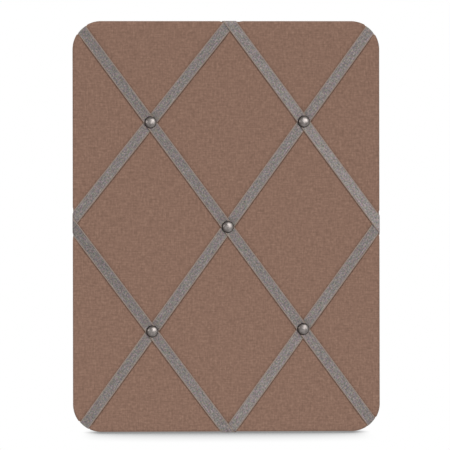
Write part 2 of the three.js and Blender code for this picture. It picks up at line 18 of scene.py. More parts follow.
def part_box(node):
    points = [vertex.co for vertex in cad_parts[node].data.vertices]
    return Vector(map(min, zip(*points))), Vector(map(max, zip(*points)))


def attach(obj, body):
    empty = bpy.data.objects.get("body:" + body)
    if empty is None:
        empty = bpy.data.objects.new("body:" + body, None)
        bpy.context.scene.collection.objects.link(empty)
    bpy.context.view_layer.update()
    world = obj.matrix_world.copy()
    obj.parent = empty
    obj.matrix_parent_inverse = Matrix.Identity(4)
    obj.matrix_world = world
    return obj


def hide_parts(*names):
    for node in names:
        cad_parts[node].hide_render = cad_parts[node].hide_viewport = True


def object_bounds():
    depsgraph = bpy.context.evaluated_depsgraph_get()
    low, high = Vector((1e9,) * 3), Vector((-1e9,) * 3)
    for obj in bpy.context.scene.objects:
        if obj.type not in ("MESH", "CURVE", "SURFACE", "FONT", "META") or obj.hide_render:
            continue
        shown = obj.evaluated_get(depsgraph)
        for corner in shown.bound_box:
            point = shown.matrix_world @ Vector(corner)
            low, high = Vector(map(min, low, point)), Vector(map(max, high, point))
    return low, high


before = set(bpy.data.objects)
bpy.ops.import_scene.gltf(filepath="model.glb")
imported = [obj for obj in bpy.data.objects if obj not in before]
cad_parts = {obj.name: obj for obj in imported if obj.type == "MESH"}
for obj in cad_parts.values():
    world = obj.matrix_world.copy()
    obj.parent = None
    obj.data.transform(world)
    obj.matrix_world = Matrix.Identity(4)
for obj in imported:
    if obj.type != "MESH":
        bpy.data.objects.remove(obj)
cad_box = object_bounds()
bpy.ops.object.select_all(action="DESELECT")

# %% [markdown]
# ## Sizes
# Sizes are written in millimetres, as a maker would say them, and one factor turns them into
# Blender's metres. The outer sizes of the wrapped board are read from the frame, so that the two
# can't drift apart.

# %% Read the board's sizes
MM = 0.001
CORNER_RADIUS = 25.4 * MM
FRONT_ROUND = 2 * MM
BACK_ROUND = 1.5 * MM

cover_low, cover_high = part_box("fabric_cover")
MIDDLE = (cover_low + cover_high) / 2
HALF_WIDTH = cover_high.x
HALF_HEIGHT = (cover_high.z - cover_low.z) / 2
FRONT = cover_low.y  # the face of the cloth
HEM_BACK = cover_high.y  # the back of the hem
print("Board:", [round(side / MM, 1) for side in cover_high - cover_low], "mm")

# %% [markdown]
# ## The camera
# The photograph looks straight at the board from far off, so its sides stay almost parallel, and
# a long lens does the same. In the picture the board is a hair shorter at its right than at its
# left, so the camera stands a little to the left of the middle, and it leans by a tenth of a
# degree. It is level with the middle of the board, and from there it sees the floor in front of
# the board at a low angle.

# %% Place the camera
LENS = 180  # mm, long
VIEW_WIDTH = 411.2 * MM  # across the square picture, at the face of the board
AIM = Vector((-1.24 * MM, FRONT, MIDDLE.z + 1.44 * MM))  # what the middle of the picture shows
CAMERA_SWING = math.radians(1.2)
CAMERA_LEAN = math.radians(0.09)

bpy.ops.object.camera_add(rotation=(math.pi / 2, CAMERA_LEAN, -CAMERA_SWING))
camera = bpy.context.object
camera.data.lens = LENS
distance = VIEW_WIDTH * LENS / camera.data.sensor_width
camera.location = AIM - distance * Vector((math.sin(CAMERA_SWING), math.cos(CAMERA_SWING), 0))
bpy.context.scene.camera = camera
print(f"Camera: {distance:.2f} m in front of the board")

# %% [markdown]
# ## Helpers for materials
# Colours are written as sRGB hex values, as a colour picker shows them, and shaders work in
# linear light, so one function converts them. Another adds a node with its settings, its links
# and the colours of its ramp. A pattern is scaled by the size of its grains in millimetres. A
# wave texture repeats every 2 pi / 20 of its coordinate, so threads and ribs have a scale of
# their own, which gives one wave for each of them.

# %% Convert colours and sizes
WHITE = (1, 1, 1, 1)


def linear(hex_code):
    """Turns an sRGB hex value into linear light."""
    channels = [int(hex_code[i : i + 2], 16) / 255 for i in (1, 3, 5)]
    return [c / 12.92 if c <= 0.04045 else ((c + 0.055) / 1.055) ** 2.4 for c in channels] + [1]


def per_metre(*sizes):
    """Scale of a pattern whose grains have this size, or these sizes, in millimetres."""
    scales = [1 / (size * MM) for size in sizes]
    return scales if len(scales) > 1 else scales[0]


def waves_per_metre(pitch):
    """Scale of a wave texture whose waves are this many millimetres apart."""
    return math.pi / 10 * per_metre(pitch)


print("A middle grey is", round(linear("#808080")[0], 3), "in linear light")

# %% Make materials and nodes


def new_material(name, constants):
    """A material whose Principled shader has these constants on its own sockets."""
    material = bpy.data.materials.new(name)
    material.use_nodes = True
    shader = material.node_tree.nodes["Principled BSDF"]
    for socket, value in constants.items():
        shader.inputs[socket].default_value = value
    return material, material.node_tree, shader


def add_node(tree, kind, inputs, stops=(), **settings):
    """Adds a node. An input is a value, a socket to link, or a node to link by its first output."""
    node = tree.nodes.new("ShaderNode" + kind)
    for name, value in settings.items():
        setattr(node, name, value)
    for name, value in inputs.items():
        socket = node.inputs[name] if isinstance(name, int) else next(
            s for s in node.inputs if s.name == name and s.enabled)
        if isinstance(value, bpy.types.Node):
            value = next(s for s in value.outputs if s.enabled)
        if isinstance(value, bpy.types.NodeSocket):
            tree.links.new(value, socket)
        else:
            socket.default_value = value
    if stops:
        elements = node.color_ramp.elements
        while len(elements) < len(stops):
            elements.new(1)
        for element, (position, colour) in zip(elements, stops):
            element.position = position
            element.color = linear(colour)
    return node


def dress(tree, shader, colour, height, relief):
    """Links a material's colour, and its height as a bump of a relief in metres."""
    bump = add_node(tree, "Bump", {"Height": height, "Distance": relief})
    tree.links.new(next(s for s in colour.outputs if s.enabled), shader.inputs["Base Color"])
    tree.links.new(bump.outputs["Normal"], shader.inputs["Normal"])


print("Materials in the frame:", len(bpy.data.materials))

# %% [markdown]
# ## Linen
# The cover is linen in a plain weave, dyed brown. Linen yarn is uneven: thick stretches, called
# slubs, run along the threads in both directions, and the eye reads them as a fine heather on a
# matt cloth. The threads are finer than a pixel of the picture, so the weave is a low relief and
# the slubs are drawn a millimetre wide, as coarse as they need to be to show. The pattern reads
# the cloth's own UV map, which holds the flat cut in metres, so that the threads follow the cloth
# round the edge. The rolled edge is painted a little darker, as painted shade where the cloth
# turns away from the light, and an attribute of the mesh tells the material where that is.

# %% Make the linen
THREAD_PITCH = 0.6  # mm
SLUB_WIDTH = 1.0  # mm
SLUB_LENGTH = 9.0  # mm
HEATHER_SIZE = 2.2  # mm
EDGE_SHADE_SHARE = 0.12

linen, tree, shader = new_material("woven_linen", {"Roughness": 0.92, "Specular IOR Level": 0.2})
cut = add_node(tree, "UVMap", {}, uv_map="cut")
warp_way = add_node(
    tree, "Mapping", {"Vector": cut, "Scale": per_metre(SLUB_WIDTH, SLUB_LENGTH, 1)})
weft_way = add_node(
    tree, "Mapping", {"Vector": cut, "Scale": per_metre(SLUB_LENGTH, SLUB_WIDTH, 1)})
warp = add_node(tree, "TexNoise", {"Vector": warp_way, "Scale": 1, "Detail": 2})
weft = add_node(tree, "TexNoise", {"Vector": weft_way, "Scale": 1, "Detail": 2})
patches = add_node(
    tree, "TexNoise", {"Vector": cut, "Scale": per_metre(HEATHER_SIZE), "Detail": 2})
slubs = add_node(tree, "Mix", {"Factor": 0.5, "A": warp, "B": weft})
heather = add_node(tree, "Mix", {"Factor": 0.4, "A": slubs, "B": patches})
dyed = add_node(
    tree, "ValToRGB", {"Fac": heather},
    stops=((0.36, "#7a5f51"), (0.5, "#896b5c"), (0.64, "#987968")))
# painted shade: the rolled edge is darkened a little
edge = add_node(tree, "Attribute", {}, attribute_name="edge")
edge_shade = add_node(tree, "Math", {0: edge.outputs["Fac"], 1: EDGE_SHADE_SHARE}, operation="MULTIPLY")
colour = add_node(
    tree, "Mix", {"Factor": edge_shade, "A": dyed, "B": linear("#4a3a32")}, data_type="RGBA")
threads = waves_per_metre(THREAD_PITCH)
over = add_node(tree, "TexWave", {"Vector": cut, "Scale": threads}, bands_direction="X")
under = add_node(tree, "TexWave", {"Vector": cut, "Scale": threads}, bands_direction="Y")
weave = add_node(tree, "Math", {0: over, 1: under}, operation="MULTIPLY")
dress(tree, shader, colour, weave, relief=0.05 * MM)
print("Material:", linen.name)

# %% [markdown]
# ## Grosgrain
# Grosgrain is a ribbon whose thick weft makes ribs across it, from edge to edge. Its two edges,
# the selvedges, are woven tighter and look paler and warmer. Ribs and selvedges follow the
# ribbon, so the material reads the ribbon's own UV map, in which U runs across it and V along it.
# Each ribbon also carries a tone, partly dye that differs a little between pieces cut from one
# roll and partly painted sheen, and the tone drifts from one end to the other as painted sheen,
# where the ribbon lies at a different angle to the light.

# %% Make the grosgrain
RIB_PITCH = 0.9  # mm
FLECK_SIZE = (1.6, 1.4)  # mm, across and along the ribbon
STREAK_SIZE = (1.1, 6)  # mm
SELVEDGE_INSIDE = 3.7  # mm from the middle of the ribbon
SELVEDGE_OUTSIDE = 4.4  # mm

grosgrain, tree, shader = new_material(
    "grosgrain_ribbon", {"Roughness": 0.75, "Specular IOR Level": 0.3})
strip = add_node(tree, "UVMap", {}, uv_map="strip")
fleck_way = add_node(tree, "Mapping", {"Vector": strip, "Scale": per_metre(*FLECK_SIZE, 1)})
streak_way = add_node(tree, "Mapping", {"Vector": strip, "Scale": per_metre(*STREAK_SIZE, 1)})
flecks = add_node(tree, "TexNoise", {"Vector": fleck_way, "Scale": 1, "Detail": 2})
streaks = add_node(tree, "TexNoise", {"Vector": streak_way, "Scale": 1, "Detail": 1})
yarn = add_node(tree, "Mix", {"Factor": 0.4, "A": flecks, "B": streaks})
# tone: partly dye, partly painted sheen
tone = add_node(tree, "Attribute", {}, attribute_name="tone")
shade = add_node(tree, "Math", {0: yarn, 1: tone.outputs["Fac"]}, operation="ADD")
grey = add_node(
    tree, "ValToRGB", {"Fac": shade},
    stops=((0.25, "#5b5452"), (0.5, "#847c79"), (0.75, "#aca4a1")))
heathered = add_node(
    tree, "Mix", {"Factor": 0.33, "A": grey, "B": flecks.outputs["Color"]},
    data_type="RGBA", blend_type="OVERLAY")
ways = add_node(tree, "SeparateXYZ", {"Vector": strip})
from_middle = add_node(tree, "Math", {0: ways.outputs["X"]}, operation="ABSOLUTE")
selvedge = add_node(
    tree, "MapRange",
    {"Value": from_middle, "From Min": SELVEDGE_INSIDE * MM, "From Max": SELVEDGE_OUTSIDE * MM})
colour = add_node(
    tree, "Mix", {"Factor": selvedge, "A": heathered, "B": linear("#938379")}, data_type="RGBA")
ribs = add_node(
    tree, "TexWave", {"Vector": strip, "Scale": waves_per_metre(RIB_PITCH)}, bands_direction="Y")
dress(tree, shader, colour, ribs, relief=0.15 * MM)
print("Material:", grosgrain.name)

# %% [markdown]
# ## Antiqued pewter
# The nail heads are stamped steel with a plated finish that looks like old pewter: a soft grey
# shine, worn bright on the crown, and dark stains in the dents. Round the rim the colour is dark,
# as wax left there and as painted contact shade and painted dark reflection. It is a metal, so its
# shine takes the colour of the surface. Each nail carries a height in its mesh, from 0 at the rim
# to 1 at the crown, and the dark rim follows it.

# %% Make the pewter
DENT_SIZE = 2.2  # mm

pewter, tree, shader = new_material("antiqued_pewter", {"Metallic": 1, "Roughness": 0.27})
height = add_node(tree, "Attribute", {}, attribute_name="height")
# dark at the rim: wax, and painted contact shade and dark reflection
wax_and_shade = add_node(
    tree, "ValToRGB", {"Fac": height.outputs["Fac"]},
    stops=((0.35, "#15100e"), (0.6, "#544d4a"), (0.78, "#7e7875"), (1, "#8b8582")))
place = add_node(tree, "TexCoord", {}).outputs["Object"]
dents = add_node(
    tree, "TexNoise", {"Vector": place, "Scale": per_metre(DENT_SIZE), "Detail": 2})
stain = add_node(
    tree, "MapRange", {"Value": dents, "From Min": 0.35, "From Max": 0.7, "To Max": 0.6})
colour = add_node(
    tree, "Mix", {"Factor": stain, "A": wax_and_shade, "B": linear("#453f3c")}, data_type="RGBA")
dress(tree, shader, colour, dents, relief=0.05 * MM)
print("Material:", pewter.name)

# %% [markdown]
# ## Zinc, hardboard and rubber
# The hanger, the brads and the staples are zinc-plated steel, which shows faint crystals, called
# spangle. The back panel is hardboard: pressed brown fibres with a slight gloss from the press.
# The bumpers are moulded rubber, dull and a little dusty. All three read Object coordinates,
# because nothing about them follows a surface.

# %% Make the zinc
SPANGLE_SIZE = 2.5  # mm
HAZE_SIZE = 0.8  # mm

zinc, tree, shader = new_material("zinc_plated_steel", {"Metallic": 1, "Roughness": 0.38})
place = add_node(tree, "TexCoord", {}).outputs["Object"]
spangle = add_node(tree, "TexVoronoi", {"Vector": place, "Scale": per_metre(SPANGLE_SIZE)})
crystal = add_node(tree, "SeparateXYZ", {"Vector": spangle.outputs["Color"]})
colour = add_node(
    tree, "ValToRGB", {"Fac": crystal}, stops=((0, "#a5a8aa"), (0.5, "#b4b6b8"), (1, "#c3c5c6")))
haze = add_node(tree, "TexNoise", {"Vector": place, "Scale": per_metre(HAZE_SIZE), "Detail": 3})
dress(tree, shader, colour, haze, relief=0.02 * MM)
print("Material:", zinc.name)

# %% Make the hardboard
FIBRE_SIZE = (1.2, 1.2, 5)  # mm, longer along the panel
CLOUD_SIZE = 45  # mm

hardboard, tree, shader = new_material(
    "pressed_hardboard", {"Roughness": 0.6, "Specular IOR Level": 0.4})
place = add_node(tree, "TexCoord", {}).outputs["Object"]
fibre_way = add_node(tree, "Mapping", {"Vector": place, "Scale": per_metre(*FIBRE_SIZE)})
fibres = add_node(
    tree, "TexNoise", {"Vector": fibre_way, "Scale": 1, "Detail": 4, "Distortion": 0.6})
clouds = add_node(
    tree, "TexNoise", {"Vector": place, "Scale": per_metre(CLOUD_SIZE), "Detail": 2})
mixed = add_node(tree, "Mix", {"Factor": 0.4, "A": fibres, "B": clouds})
colour = add_node(
    tree, "ValToRGB", {"Fac": mixed},
    stops=((0.3, "#3c2f27"), (0.5, "#4e4038"), (0.7, "#63534a")))
dress(tree, shader, colour, fibres, relief=0.06 * MM)
print("Material:", hardboard.name)

# %% Make the rubber
GRAIN_SIZE = 0.7  # mm
DUST_SIZE = 5  # mm

rubber, tree, shader = new_material(
    "moulded_rubber", {"Roughness": 0.85, "Specular IOR Level": 0.35})
place = add_node(tree, "TexCoord", {}).outputs["Object"]
grain = add_node(
    tree, "TexNoise", {"Vector": place, "Scale": per_metre(GRAIN_SIZE), "Detail": 3})
dust = add_node(tree, "TexNoise", {"Vector": place, "Scale": per_metre(DUST_SIZE), "Detail": 3})
colour = add_node(
    tree, "ValToRGB", {"Fac": dust},
    stops=((0.35, "#34322f"), (0.55, "#3f3c3a"), (0.75, "#504d4a")))
dress(tree, shader, colour, grain, relief=0.04 * MM)
print("Material:", rubber.name)

# %% [markdown]
# ## Cork, fibreboard and wadding
# These layers are covered by the cloth and the back panel. They are finished all the same,
# because a part in a library may be taken apart. Cork is pressed from granules, fibreboard from
# fine wood fibre, and wadding is a mat of loose white fibres.

# %% Make the cork
GRANULE_SIZE = 2.4  # mm

cork, tree, shader = new_material("pressed_cork", {"Roughness": 0.9, "Specular IOR Level": 0.25})
place = add_node(tree, "TexCoord", {}).outputs["Object"]
granules = add_node(tree, "TexVoronoi", {"Vector": place, "Scale": per_metre(GRANULE_SIZE)})
granule = add_node(tree, "SeparateXYZ", {"Vector": granules.outputs["Color"]})
colour = add_node(
    tree, "ValToRGB", {"Fac": granule},
    stops=((0, "#7d5733"), (0.25, "#b08354"), (0.7, "#c1935f"), (1, "#d2a870")))
dress(tree, shader, colour, granules.outputs["Distance"], relief=0.15 * MM)
print("Material:", cork.name)

# %% Make the fibreboard and the wadding
WOOD_FIBRE_SIZE = 0.9  # mm
TANGLE_SIZE = 4  # mm

fibreboard, tree, shader = new_material(
    "sanded_fibreboard", {"Roughness": 0.85, "Specular IOR Level": 0.3})
place = add_node(tree, "TexCoord", {}).outputs["Object"]
fibres = add_node(
    tree, "TexNoise", {"Vector": place, "Scale": per_metre(WOOD_FIBRE_SIZE), "Detail": 4})
colour = add_node(
    tree, "ValToRGB", {"Fac": fibres},
    stops=((0.3, "#a1865f"), (0.5, "#b49a76"), (0.7, "#c6b08e")))
dress(tree, shader, colour, fibres, relief=0.05 * MM)

wadding, tree, shader = new_material(
    "polyester_wadding", {"Roughness": 0.95, "Specular IOR Level": 0.2})
place = add_node(tree, "TexCoord", {}).outputs["Object"]
tangle = add_node(
    tree, "TexNoise",
    {"Vector": place, "Scale": per_metre(TANGLE_SIZE), "Detail": 5, "Distortion": 2})
colour = add_node(
    tree, "ValToRGB", {"Fac": tangle},
    stops=((0.3, "#dad5ca"), (0.5, "#e9e5dc"), (0.7, "#f1eee7")))
dress(tree, shader, colour, tangle, relief=0.4 * MM)
print("Materials:", fibreboard.name, wadding.name)

# %% [markdown]
# ## Helpers for modelling
# Every piece starts as a primitive. In edit mode an operator works on what is selected, so one
# helper selects the edges or faces whose middle passes a test. A finished piece is a plain mesh:
# its modifiers are applied, its object sits at the origin, and the solid of the frame that it
# stands for is hidden.

# %% Select and round
CLOSE = 0.01 * MM


def pick(piece, kind, test):
    """Selects, in edit mode, the edges or the faces whose middle passes the test."""
    bpy.ops.mesh.select_mode(type=kind)
    bpy.ops.mesh.select_all(action="DESELECT")
    shape = bmesh.from_edit_mesh(piece.data)
    for part in shape.edges if kind == "EDGE" else shape.faces:
        places = [vertex.co for vertex in part.verts]
        part.select_set(test(sum(places, Vector()) / len(places)))
    shape.select_flush_mode()
    bmesh.update_edit_mesh(piece.data)


def round_edges(piece, test, radius, segments):
    """Bevels, in edit mode, the edges whose middle passes the test."""
    pick(piece, "EDGE", test)
    bpy.ops.mesh.bevel(offset=radius, segments=segments, profile=0.5, affect="EDGES")


print("Two places are the same within", CLOSE / MM, "mm")

# %% Start and finish a piece


def select_only(piece):
    bpy.ops.object.select_all(action="DESELECT")
    bpy.context.view_layer.objects.active = piece
    piece.select_set(True)


def apply_modifiers(piece):
    select_only(piece)
    for modifier in list(piece.modifiers):
        bpy.ops.object.modifier_apply(modifier=modifier.name)


def add_block(name, low, high):
    """A cube between two corners, in edit mode."""
    bpy.ops.object.select_all(action="DESELECT")
    bpy.ops.mesh.primitive_cube_add(size=1, location=(low + high) / 2, scale=high - low)
    bpy.ops.object.transform_apply(location=True, rotation=True, scale=True)
    piece = bpy.context.object
    piece.name = name
    bpy.ops.object.mode_set(mode="EDIT")
    return piece


def finish_piece(piece, material, node):
    """Gives a piece its material and its place in the frame."""
    piece.data.materials.clear()
    piece.data.materials.append(material)
    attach(piece, "root")
    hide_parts(node)
    print(f"{piece.name}: {len(piece.data.polygons)} faces of {material.name}")


print("Ready to model on", len(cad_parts), "solids")

# %% [markdown]
# ## The wrapped cover: its form
# The linen lies flat on the front, rolls over the soft edge of the wadding, runs down the side,
# turns sharply round the core and ends as a hem on the back. One box gives all of that. Its four
# corner edges are bevelled to the board's round corners, then the front and the back rim are
# bevelled to their own roundness. The back face is inset ring by ring to the width of the hem,
# and what is left in the middle is deleted, because the cloth ends there.

# %% Model the wrap
CORNER_SEGMENTS = 42
FRONT_SEGMENTS = 8
BACK_SEGMENTS = 4
HEM_RINGS = 5
HEM_FLAT = 20.5 * MM  # from the back round to the raw edge


def at_corner(low, high):
    """A test for the four edges of a block that run from its front to its back."""
    depth = (low.y + high.y) / 2
    return lambda spot: abs(spot.y - depth) < CLOSE and abs(abs(spot.x) - high.x) < CLOSE


def at_depth(depth):
    """A test for what lies in one plane, parallel to the front."""
    return lambda spot: abs(spot.y - depth) < CLOSE


cover = add_block("linen_cover", cover_low, cover_high)
round_edges(cover, at_corner(cover_low, cover_high), CORNER_RADIUS, CORNER_SEGMENTS)
round_edges(cover, at_depth(FRONT), FRONT_ROUND, FRONT_SEGMENTS)
round_edges(cover, at_depth(HEM_BACK), BACK_ROUND, BACK_SEGMENTS)
pick(cover, "FACE", at_depth(HEM_BACK))
for _ in range(HEM_RINGS):
    bpy.ops.mesh.inset(thickness=HEM_FLAT / HEM_RINGS, depth=0, use_even_offset=True)
bpy.ops.mesh.delete(type="FACE")
print("Wrap:", len(bmesh.from_edit_mesh(cover.data).faces), "faces")

# %% [markdown]
# A cloth needs vertices all over before it can swell or crease. Bisecting the whole piece with
# planes gives a grid of squares on the front, and carries it over the rim in line with the
# threads. A few more cuts run round the side.

# %% Cut the wrap into a grid
GRID = 3 * MM
SIDE_ROWS = 4


def divide(low, high, count):
    """Places that divide a stretch into equal parts."""
    return [low + (high - low) * i / count for i in range(1, count)]


def grid_places(low, high):
    return divide(low, high, round((high - low) / GRID))


def cut_across(normal, places):
    """Cuts the piece in edit mode by planes at some places along their normal."""
    for place in places:
        bpy.ops.mesh.select_all(action="SELECT")
        bpy.ops.mesh.bisect(
            plane_co=[place * part for part in normal], plane_no=normal, threshold=CLOSE)


cut_across((1, 0, 0), grid_places(-HALF_WIDTH + FRONT_ROUND, HALF_WIDTH - FRONT_ROUND))
cut_across((0, 1, 0), divide(FRONT + FRONT_ROUND, HEM_BACK - BACK_ROUND, SIDE_ROWS))
cut_across((0, 0, 1), grid_places(cover_low.z + FRONT_ROUND, cover_high.z - FRONT_ROUND))
bpy.ops.object.mode_set(mode="OBJECT")
print("Grid:", len(cover.data.polygons), "faces")

# %% [markdown]
# ## Places round the rim
# The folds of the hem, the threads of the cloth and the way of the ribbons all depend on where a
# point lies round the rim. One function tells how far a point lies in from the outline and which
# way is outward there. Another unrolls the wrap: it tells where a point of the cloth lies on the
# flat cut.

# %% Find places round the rim
SIDE_LENGTH = HEM_BACK - FRONT - FRONT_ROUND - BACK_ROUND
FRONT_ARC = FRONT_ROUND * math.pi / 2
BACK_ARC = BACK_ROUND * math.pi / 2
RIM_LENGTH = FRONT_ARC + SIDE_LENGTH + BACK_ARC


def rim_place(spot):
    """How far a point lies in from the outline, and the outward direction there."""
    x, z = spot.x, spot.z - MIDDLE.z
    past_x = abs(x) - (HALF_WIDTH - CORNER_RADIUS)
    past_z = abs(z) - (HALF_HEIGHT - CORNER_RADIUS)
    if past_x > 0 and past_z > 0:
        reach = math.hypot(past_x, past_z)
        outward = Vector((math.copysign(past_x, x), 0, math.copysign(past_z, z))) / reach
        return CORNER_RADIUS - reach, outward
    if past_x > past_z:
        return CORNER_RADIUS - past_x, Vector((math.copysign(1, x), 0, 0))
    return CORNER_RADIUS - past_z, Vector((0, 0, math.copysign(1, z)))


def flat_cut(spot):
    """Where a point of the wrapped cloth lies on the flat cut."""
    inset, outward = rim_place(spot)
    if spot.y < FRONT + FRONT_ROUND:
        over = FRONT_ROUND - inset
        if over > 0:
            over = FRONT_ROUND * math.atan2(over, FRONT + FRONT_ROUND - spot.y)
    elif spot.y < HEM_BACK - BACK_ROUND:
        over = FRONT_ARC + spot.y - FRONT - FRONT_ROUND
    elif inset < BACK_ROUND:
        behind = spot.y - HEM_BACK + BACK_ROUND
        over = FRONT_ARC + SIDE_LENGTH + BACK_ROUND * math.atan2(behind, BACK_ROUND - inset)
    else:
        over = RIM_LENGTH + inset - BACK_ROUND
    flat = spot + outward * (inset - FRONT_ROUND + over)
    return flat.x, flat.z - MIDDLE.z


# %% [markdown]
# ## The ways of the ribbons
# Each ribbon runs straight between two marks on the rim: a corner, or the middle of an edge. Laid
# by hand, each end slips a few millimetres along the edge off its mark. At the rim the ribbon
# runs straight on, as if the front, the side and the back were unrolled flat, so it keeps its
# width and its slant all the way to its tail on the hem.

# %% Lay out the centre lines
RIBBON_WIDTH = 9.9 * MM  # 9.5 mm, and the loops of the weft, which stand out 0.2 mm at each edge
RIBBON_THICK = 0.4 * MM
LAY_GAP = 0.15 * MM  # under each ribbon
TAIL_REACH = 17 * MM  # of a tail on the hem

# The two marks in half widths and half heights, then the slip in millimetres and the ribbon's
# tone at each of them
WAYS = {
    "falling_long": ((-1, 1), (1, -1), (2.5, -0.7), (-0.05, -0.01)),
    "falling_upper": ((0, 1), (1, 0), (3.5, 2.3), (0.014, 0.082)),
    "falling_lower": ((-1, 0), (0, -1), (-0.1, 0.8), (-0.09, -0.002)),
    "rising_long": ((-1, -1), (1, 1), (5.3, -2.5), (-0.035, 0.005)),
    "rising_upper": ((-1, 0), (0, 1), (6.5, 4.1), (-0.02, -0.02)),
    "rising_lower": ((0, -1), (1, 0), (2.1, 2.2), (0.024, -0.016)),
}


def quarter_turn(way):
    """A direction in the plane of the front, turned by a quarter."""
    return Vector((-way.z, 0, way.x))


def centre_line(marks, slips):
    """The middle and the direction of a ribbon that runs between two marks."""
    ends = []
    for (share_x, share_z), slip in zip(marks, slips):
        mark = Vector((share_x * HALF_WIDTH, 0, MIDDLE.z + share_z * HALF_HEIGHT))
        shift = Vector((0, 0, slip)) if share_z == 0 else Vector((slip, 0, 0))
        ends.append(mark + shift * MM)
    return (ends[0] + ends[1]) / 2, (ends[1] - ends[0]).normalized()


def off_line(spot, line):
    """How far a point of the front lies to the side of a centre line."""
    middle, along = line
    return abs(quarter_turn(along).dot(spot - middle))


lines = {name: centre_line((start, end), slips)
         for name, (start, end, slips, _) in WAYS.items()}
print("Centre lines:", ", ".join(lines))

# %% [markdown]
# The rim is straight along the sides and round at the corners, so an end of a ribbon first finds
# out which of the two it meets. From then on it needs three things: how far each of its strands
# runs before it leaves the flat front, where a point lies that has gone some way over the rim,
# and how steeply the ribbon meets the rim.

# %% Find the profile of the rim


def rim_profile(over, height):
    """How far out and how deep a point lies, some way over the rim and off the cloth."""
    if over < FRONT_ARC:
        angle, radius = over / FRONT_ROUND, FRONT_ROUND + height
        return radius * math.sin(angle), FRONT + FRONT_ROUND - radius * math.cos(angle)
    past = over - FRONT_ARC
    if past < SIDE_LENGTH:
        return FRONT_ROUND + height, FRONT + FRONT_ROUND + past
    angle, radius = (past - SIDE_LENGTH) / BACK_ROUND, BACK_ROUND + height
    return (FRONT_ROUND - BACK_ROUND + radius * math.cos(angle),
            HEM_BACK - BACK_ROUND + radius * math.sin(angle))


print(f"Over the rim: {RIM_LENGTH / MM:.1f} mm")

# %% Follow a ribbon over the rim


class RibbonEnd:
    """One end of a ribbon, from the middle of its centre line to its tail."""

    def __init__(self, line, sense):
        self.middle, along = line
        self.ahead, self.across = along * sense, -quarter_turn(along)
        side_x, side_z = math.copysign(1, self.ahead.x), math.copysign(1, self.ahead.z)
        self.radius = CORNER_RADIUS - FRONT_ROUND
        self.centre = Vector((side_x * (HALF_WIDTH - CORNER_RADIUS), 0,
                              MIDDLE.z + side_z * (HALF_HEIGHT - CORNER_RADIUS)))
        self.flat = self.centre + self.radius * Vector((side_x, 0, side_z))
        run_x = (self.flat.x - self.middle.x) / self.ahead.x
        run_z = (self.flat.z - self.middle.z) / self.ahead.z
        meets = self.middle + self.ahead * min(run_x, run_z) - self.centre
        self.round = meets.x * side_x > 0 and meets.z * side_z > 0
        self.straight = Vector((side_x, 0, 0)) if run_x < run_z else Vector((0, 0, side_z))
        self.base = self.strand(0, self.leave(0))
        facing = self.outward(0, 0)
        self.cosine, self.sine = self.ahead.dot(facing), self.ahead.dot(quarter_turn(facing))

    def strand(self, offset, run):
        return self.middle + self.across * offset + self.ahead * run

    def leave(self, offset):
        """The run of a strand to the edge of the flat front."""
        start = self.strand(offset, 0)
        if not self.round:
            return (self.flat - start).dot(self.straight) / self.ahead.dot(self.straight)
        away = start - self.centre
        half = away.dot(self.ahead)
        return math.sqrt(half * half - away.length_squared + self.radius**2) - half

    def angle(self, spot):
        return math.atan2(spot.z - self.centre.z, spot.x - self.centre.x)

    def outward(self, along_rim, out):
        if not self.round:
            return self.straight
        angle = self.angle(self.base) + along_rim / (self.radius + out)
        return Vector((math.cos(angle), 0, math.sin(angle)))

    def place(self, offset, over, height):
        """Where a strand's point lies, some way over the rim and some height off the cloth."""
        edge = self.strand(offset, self.leave(offset))
        if over <= 0:
            spot = edge + self.ahead * (over / self.cosine)
            return Vector((spot.x, FRONT - height, spot.z))
        on_rim = min(over, RIM_LENGTH)
        out, depth = rim_profile(on_rim, height)
        drift = on_rim * self.sine / self.cosine
        if self.round:
            along_rim = self.radius * (self.angle(edge) - self.angle(self.base)) + drift
            spot = self.centre + self.outward(along_rim, out) * (self.radius + out)
        else:
            spot = edge + quarter_turn(self.straight) * drift + self.straight * out
        inward = -self.outward(drift, out)
        on_tail = over - on_rim
        spot += inward * on_tail - quarter_turn(inward) * (on_tail * self.sine / self.cosine)
        return Vector((spot.x, depth, spot.z))


ribbon_ends = {name: (RibbonEnd(line, -1), RibbonEnd(line, 1)) for name, line in lines.items()}
all_ends = [end for ends in ribbon_ends.values() for end in ends]
print("Ends over a round corner:", sum(end.round for end in all_ends), "of", len(all_ends))

# %% [markdown]
# ## The wrapped cover: its hem
# Round a corner the hem has more cloth than room, so the upholsterer lays it in small pleats that
# lean one way. They start at the edge, rise towards the raw end, and lie flat where a ribbon's
# tail is stapled down on them. The pleats are seven to a corner, and no two neighbours are equally
# high. On the straight stretches the hem is held only by its staples, and between them it rises
# until it almost meets the back panel, so that no light shows through behind the board.

# %% Find what holds the hem
HEM_STAPLES = 16
TAIL_STEPS = 8


def staple_crown(node):
    """Three places along a staple that lies on the hem."""
    low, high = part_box(node)
    return [Vector((low.x + (high.x - low.x) * share, HEM_BACK, low.z + (high.z - low.z) * share))
            for share in (0, 0.5, 1)]


tails = [end.place(0, RIM_LENGTH + TAIL_REACH * step / TAIL_STEPS, 0)
         for end in all_ends for step in range(TAIL_STEPS + 1)]
crowns = [spot for number in range(HEM_STAPLES)
          for spot in staple_crown(f"hem_staple_{number + 1}")]
print("The hem is held at", len(all_ends), "tails and", HEM_STAPLES, "staples")

# %% Lay the hem
PLEATS = (0.7, 1.0, 0.6, 0.9, 0.75, 1.0, 0.65)
PLEAT_HEIGHT = 0.75 * MM
PLEAT_LEAN = 0.75  # share of a pleat that rises before it falls back
HEM_RISE = 0.95 * MM  # of the 1.25 mm up to the panel

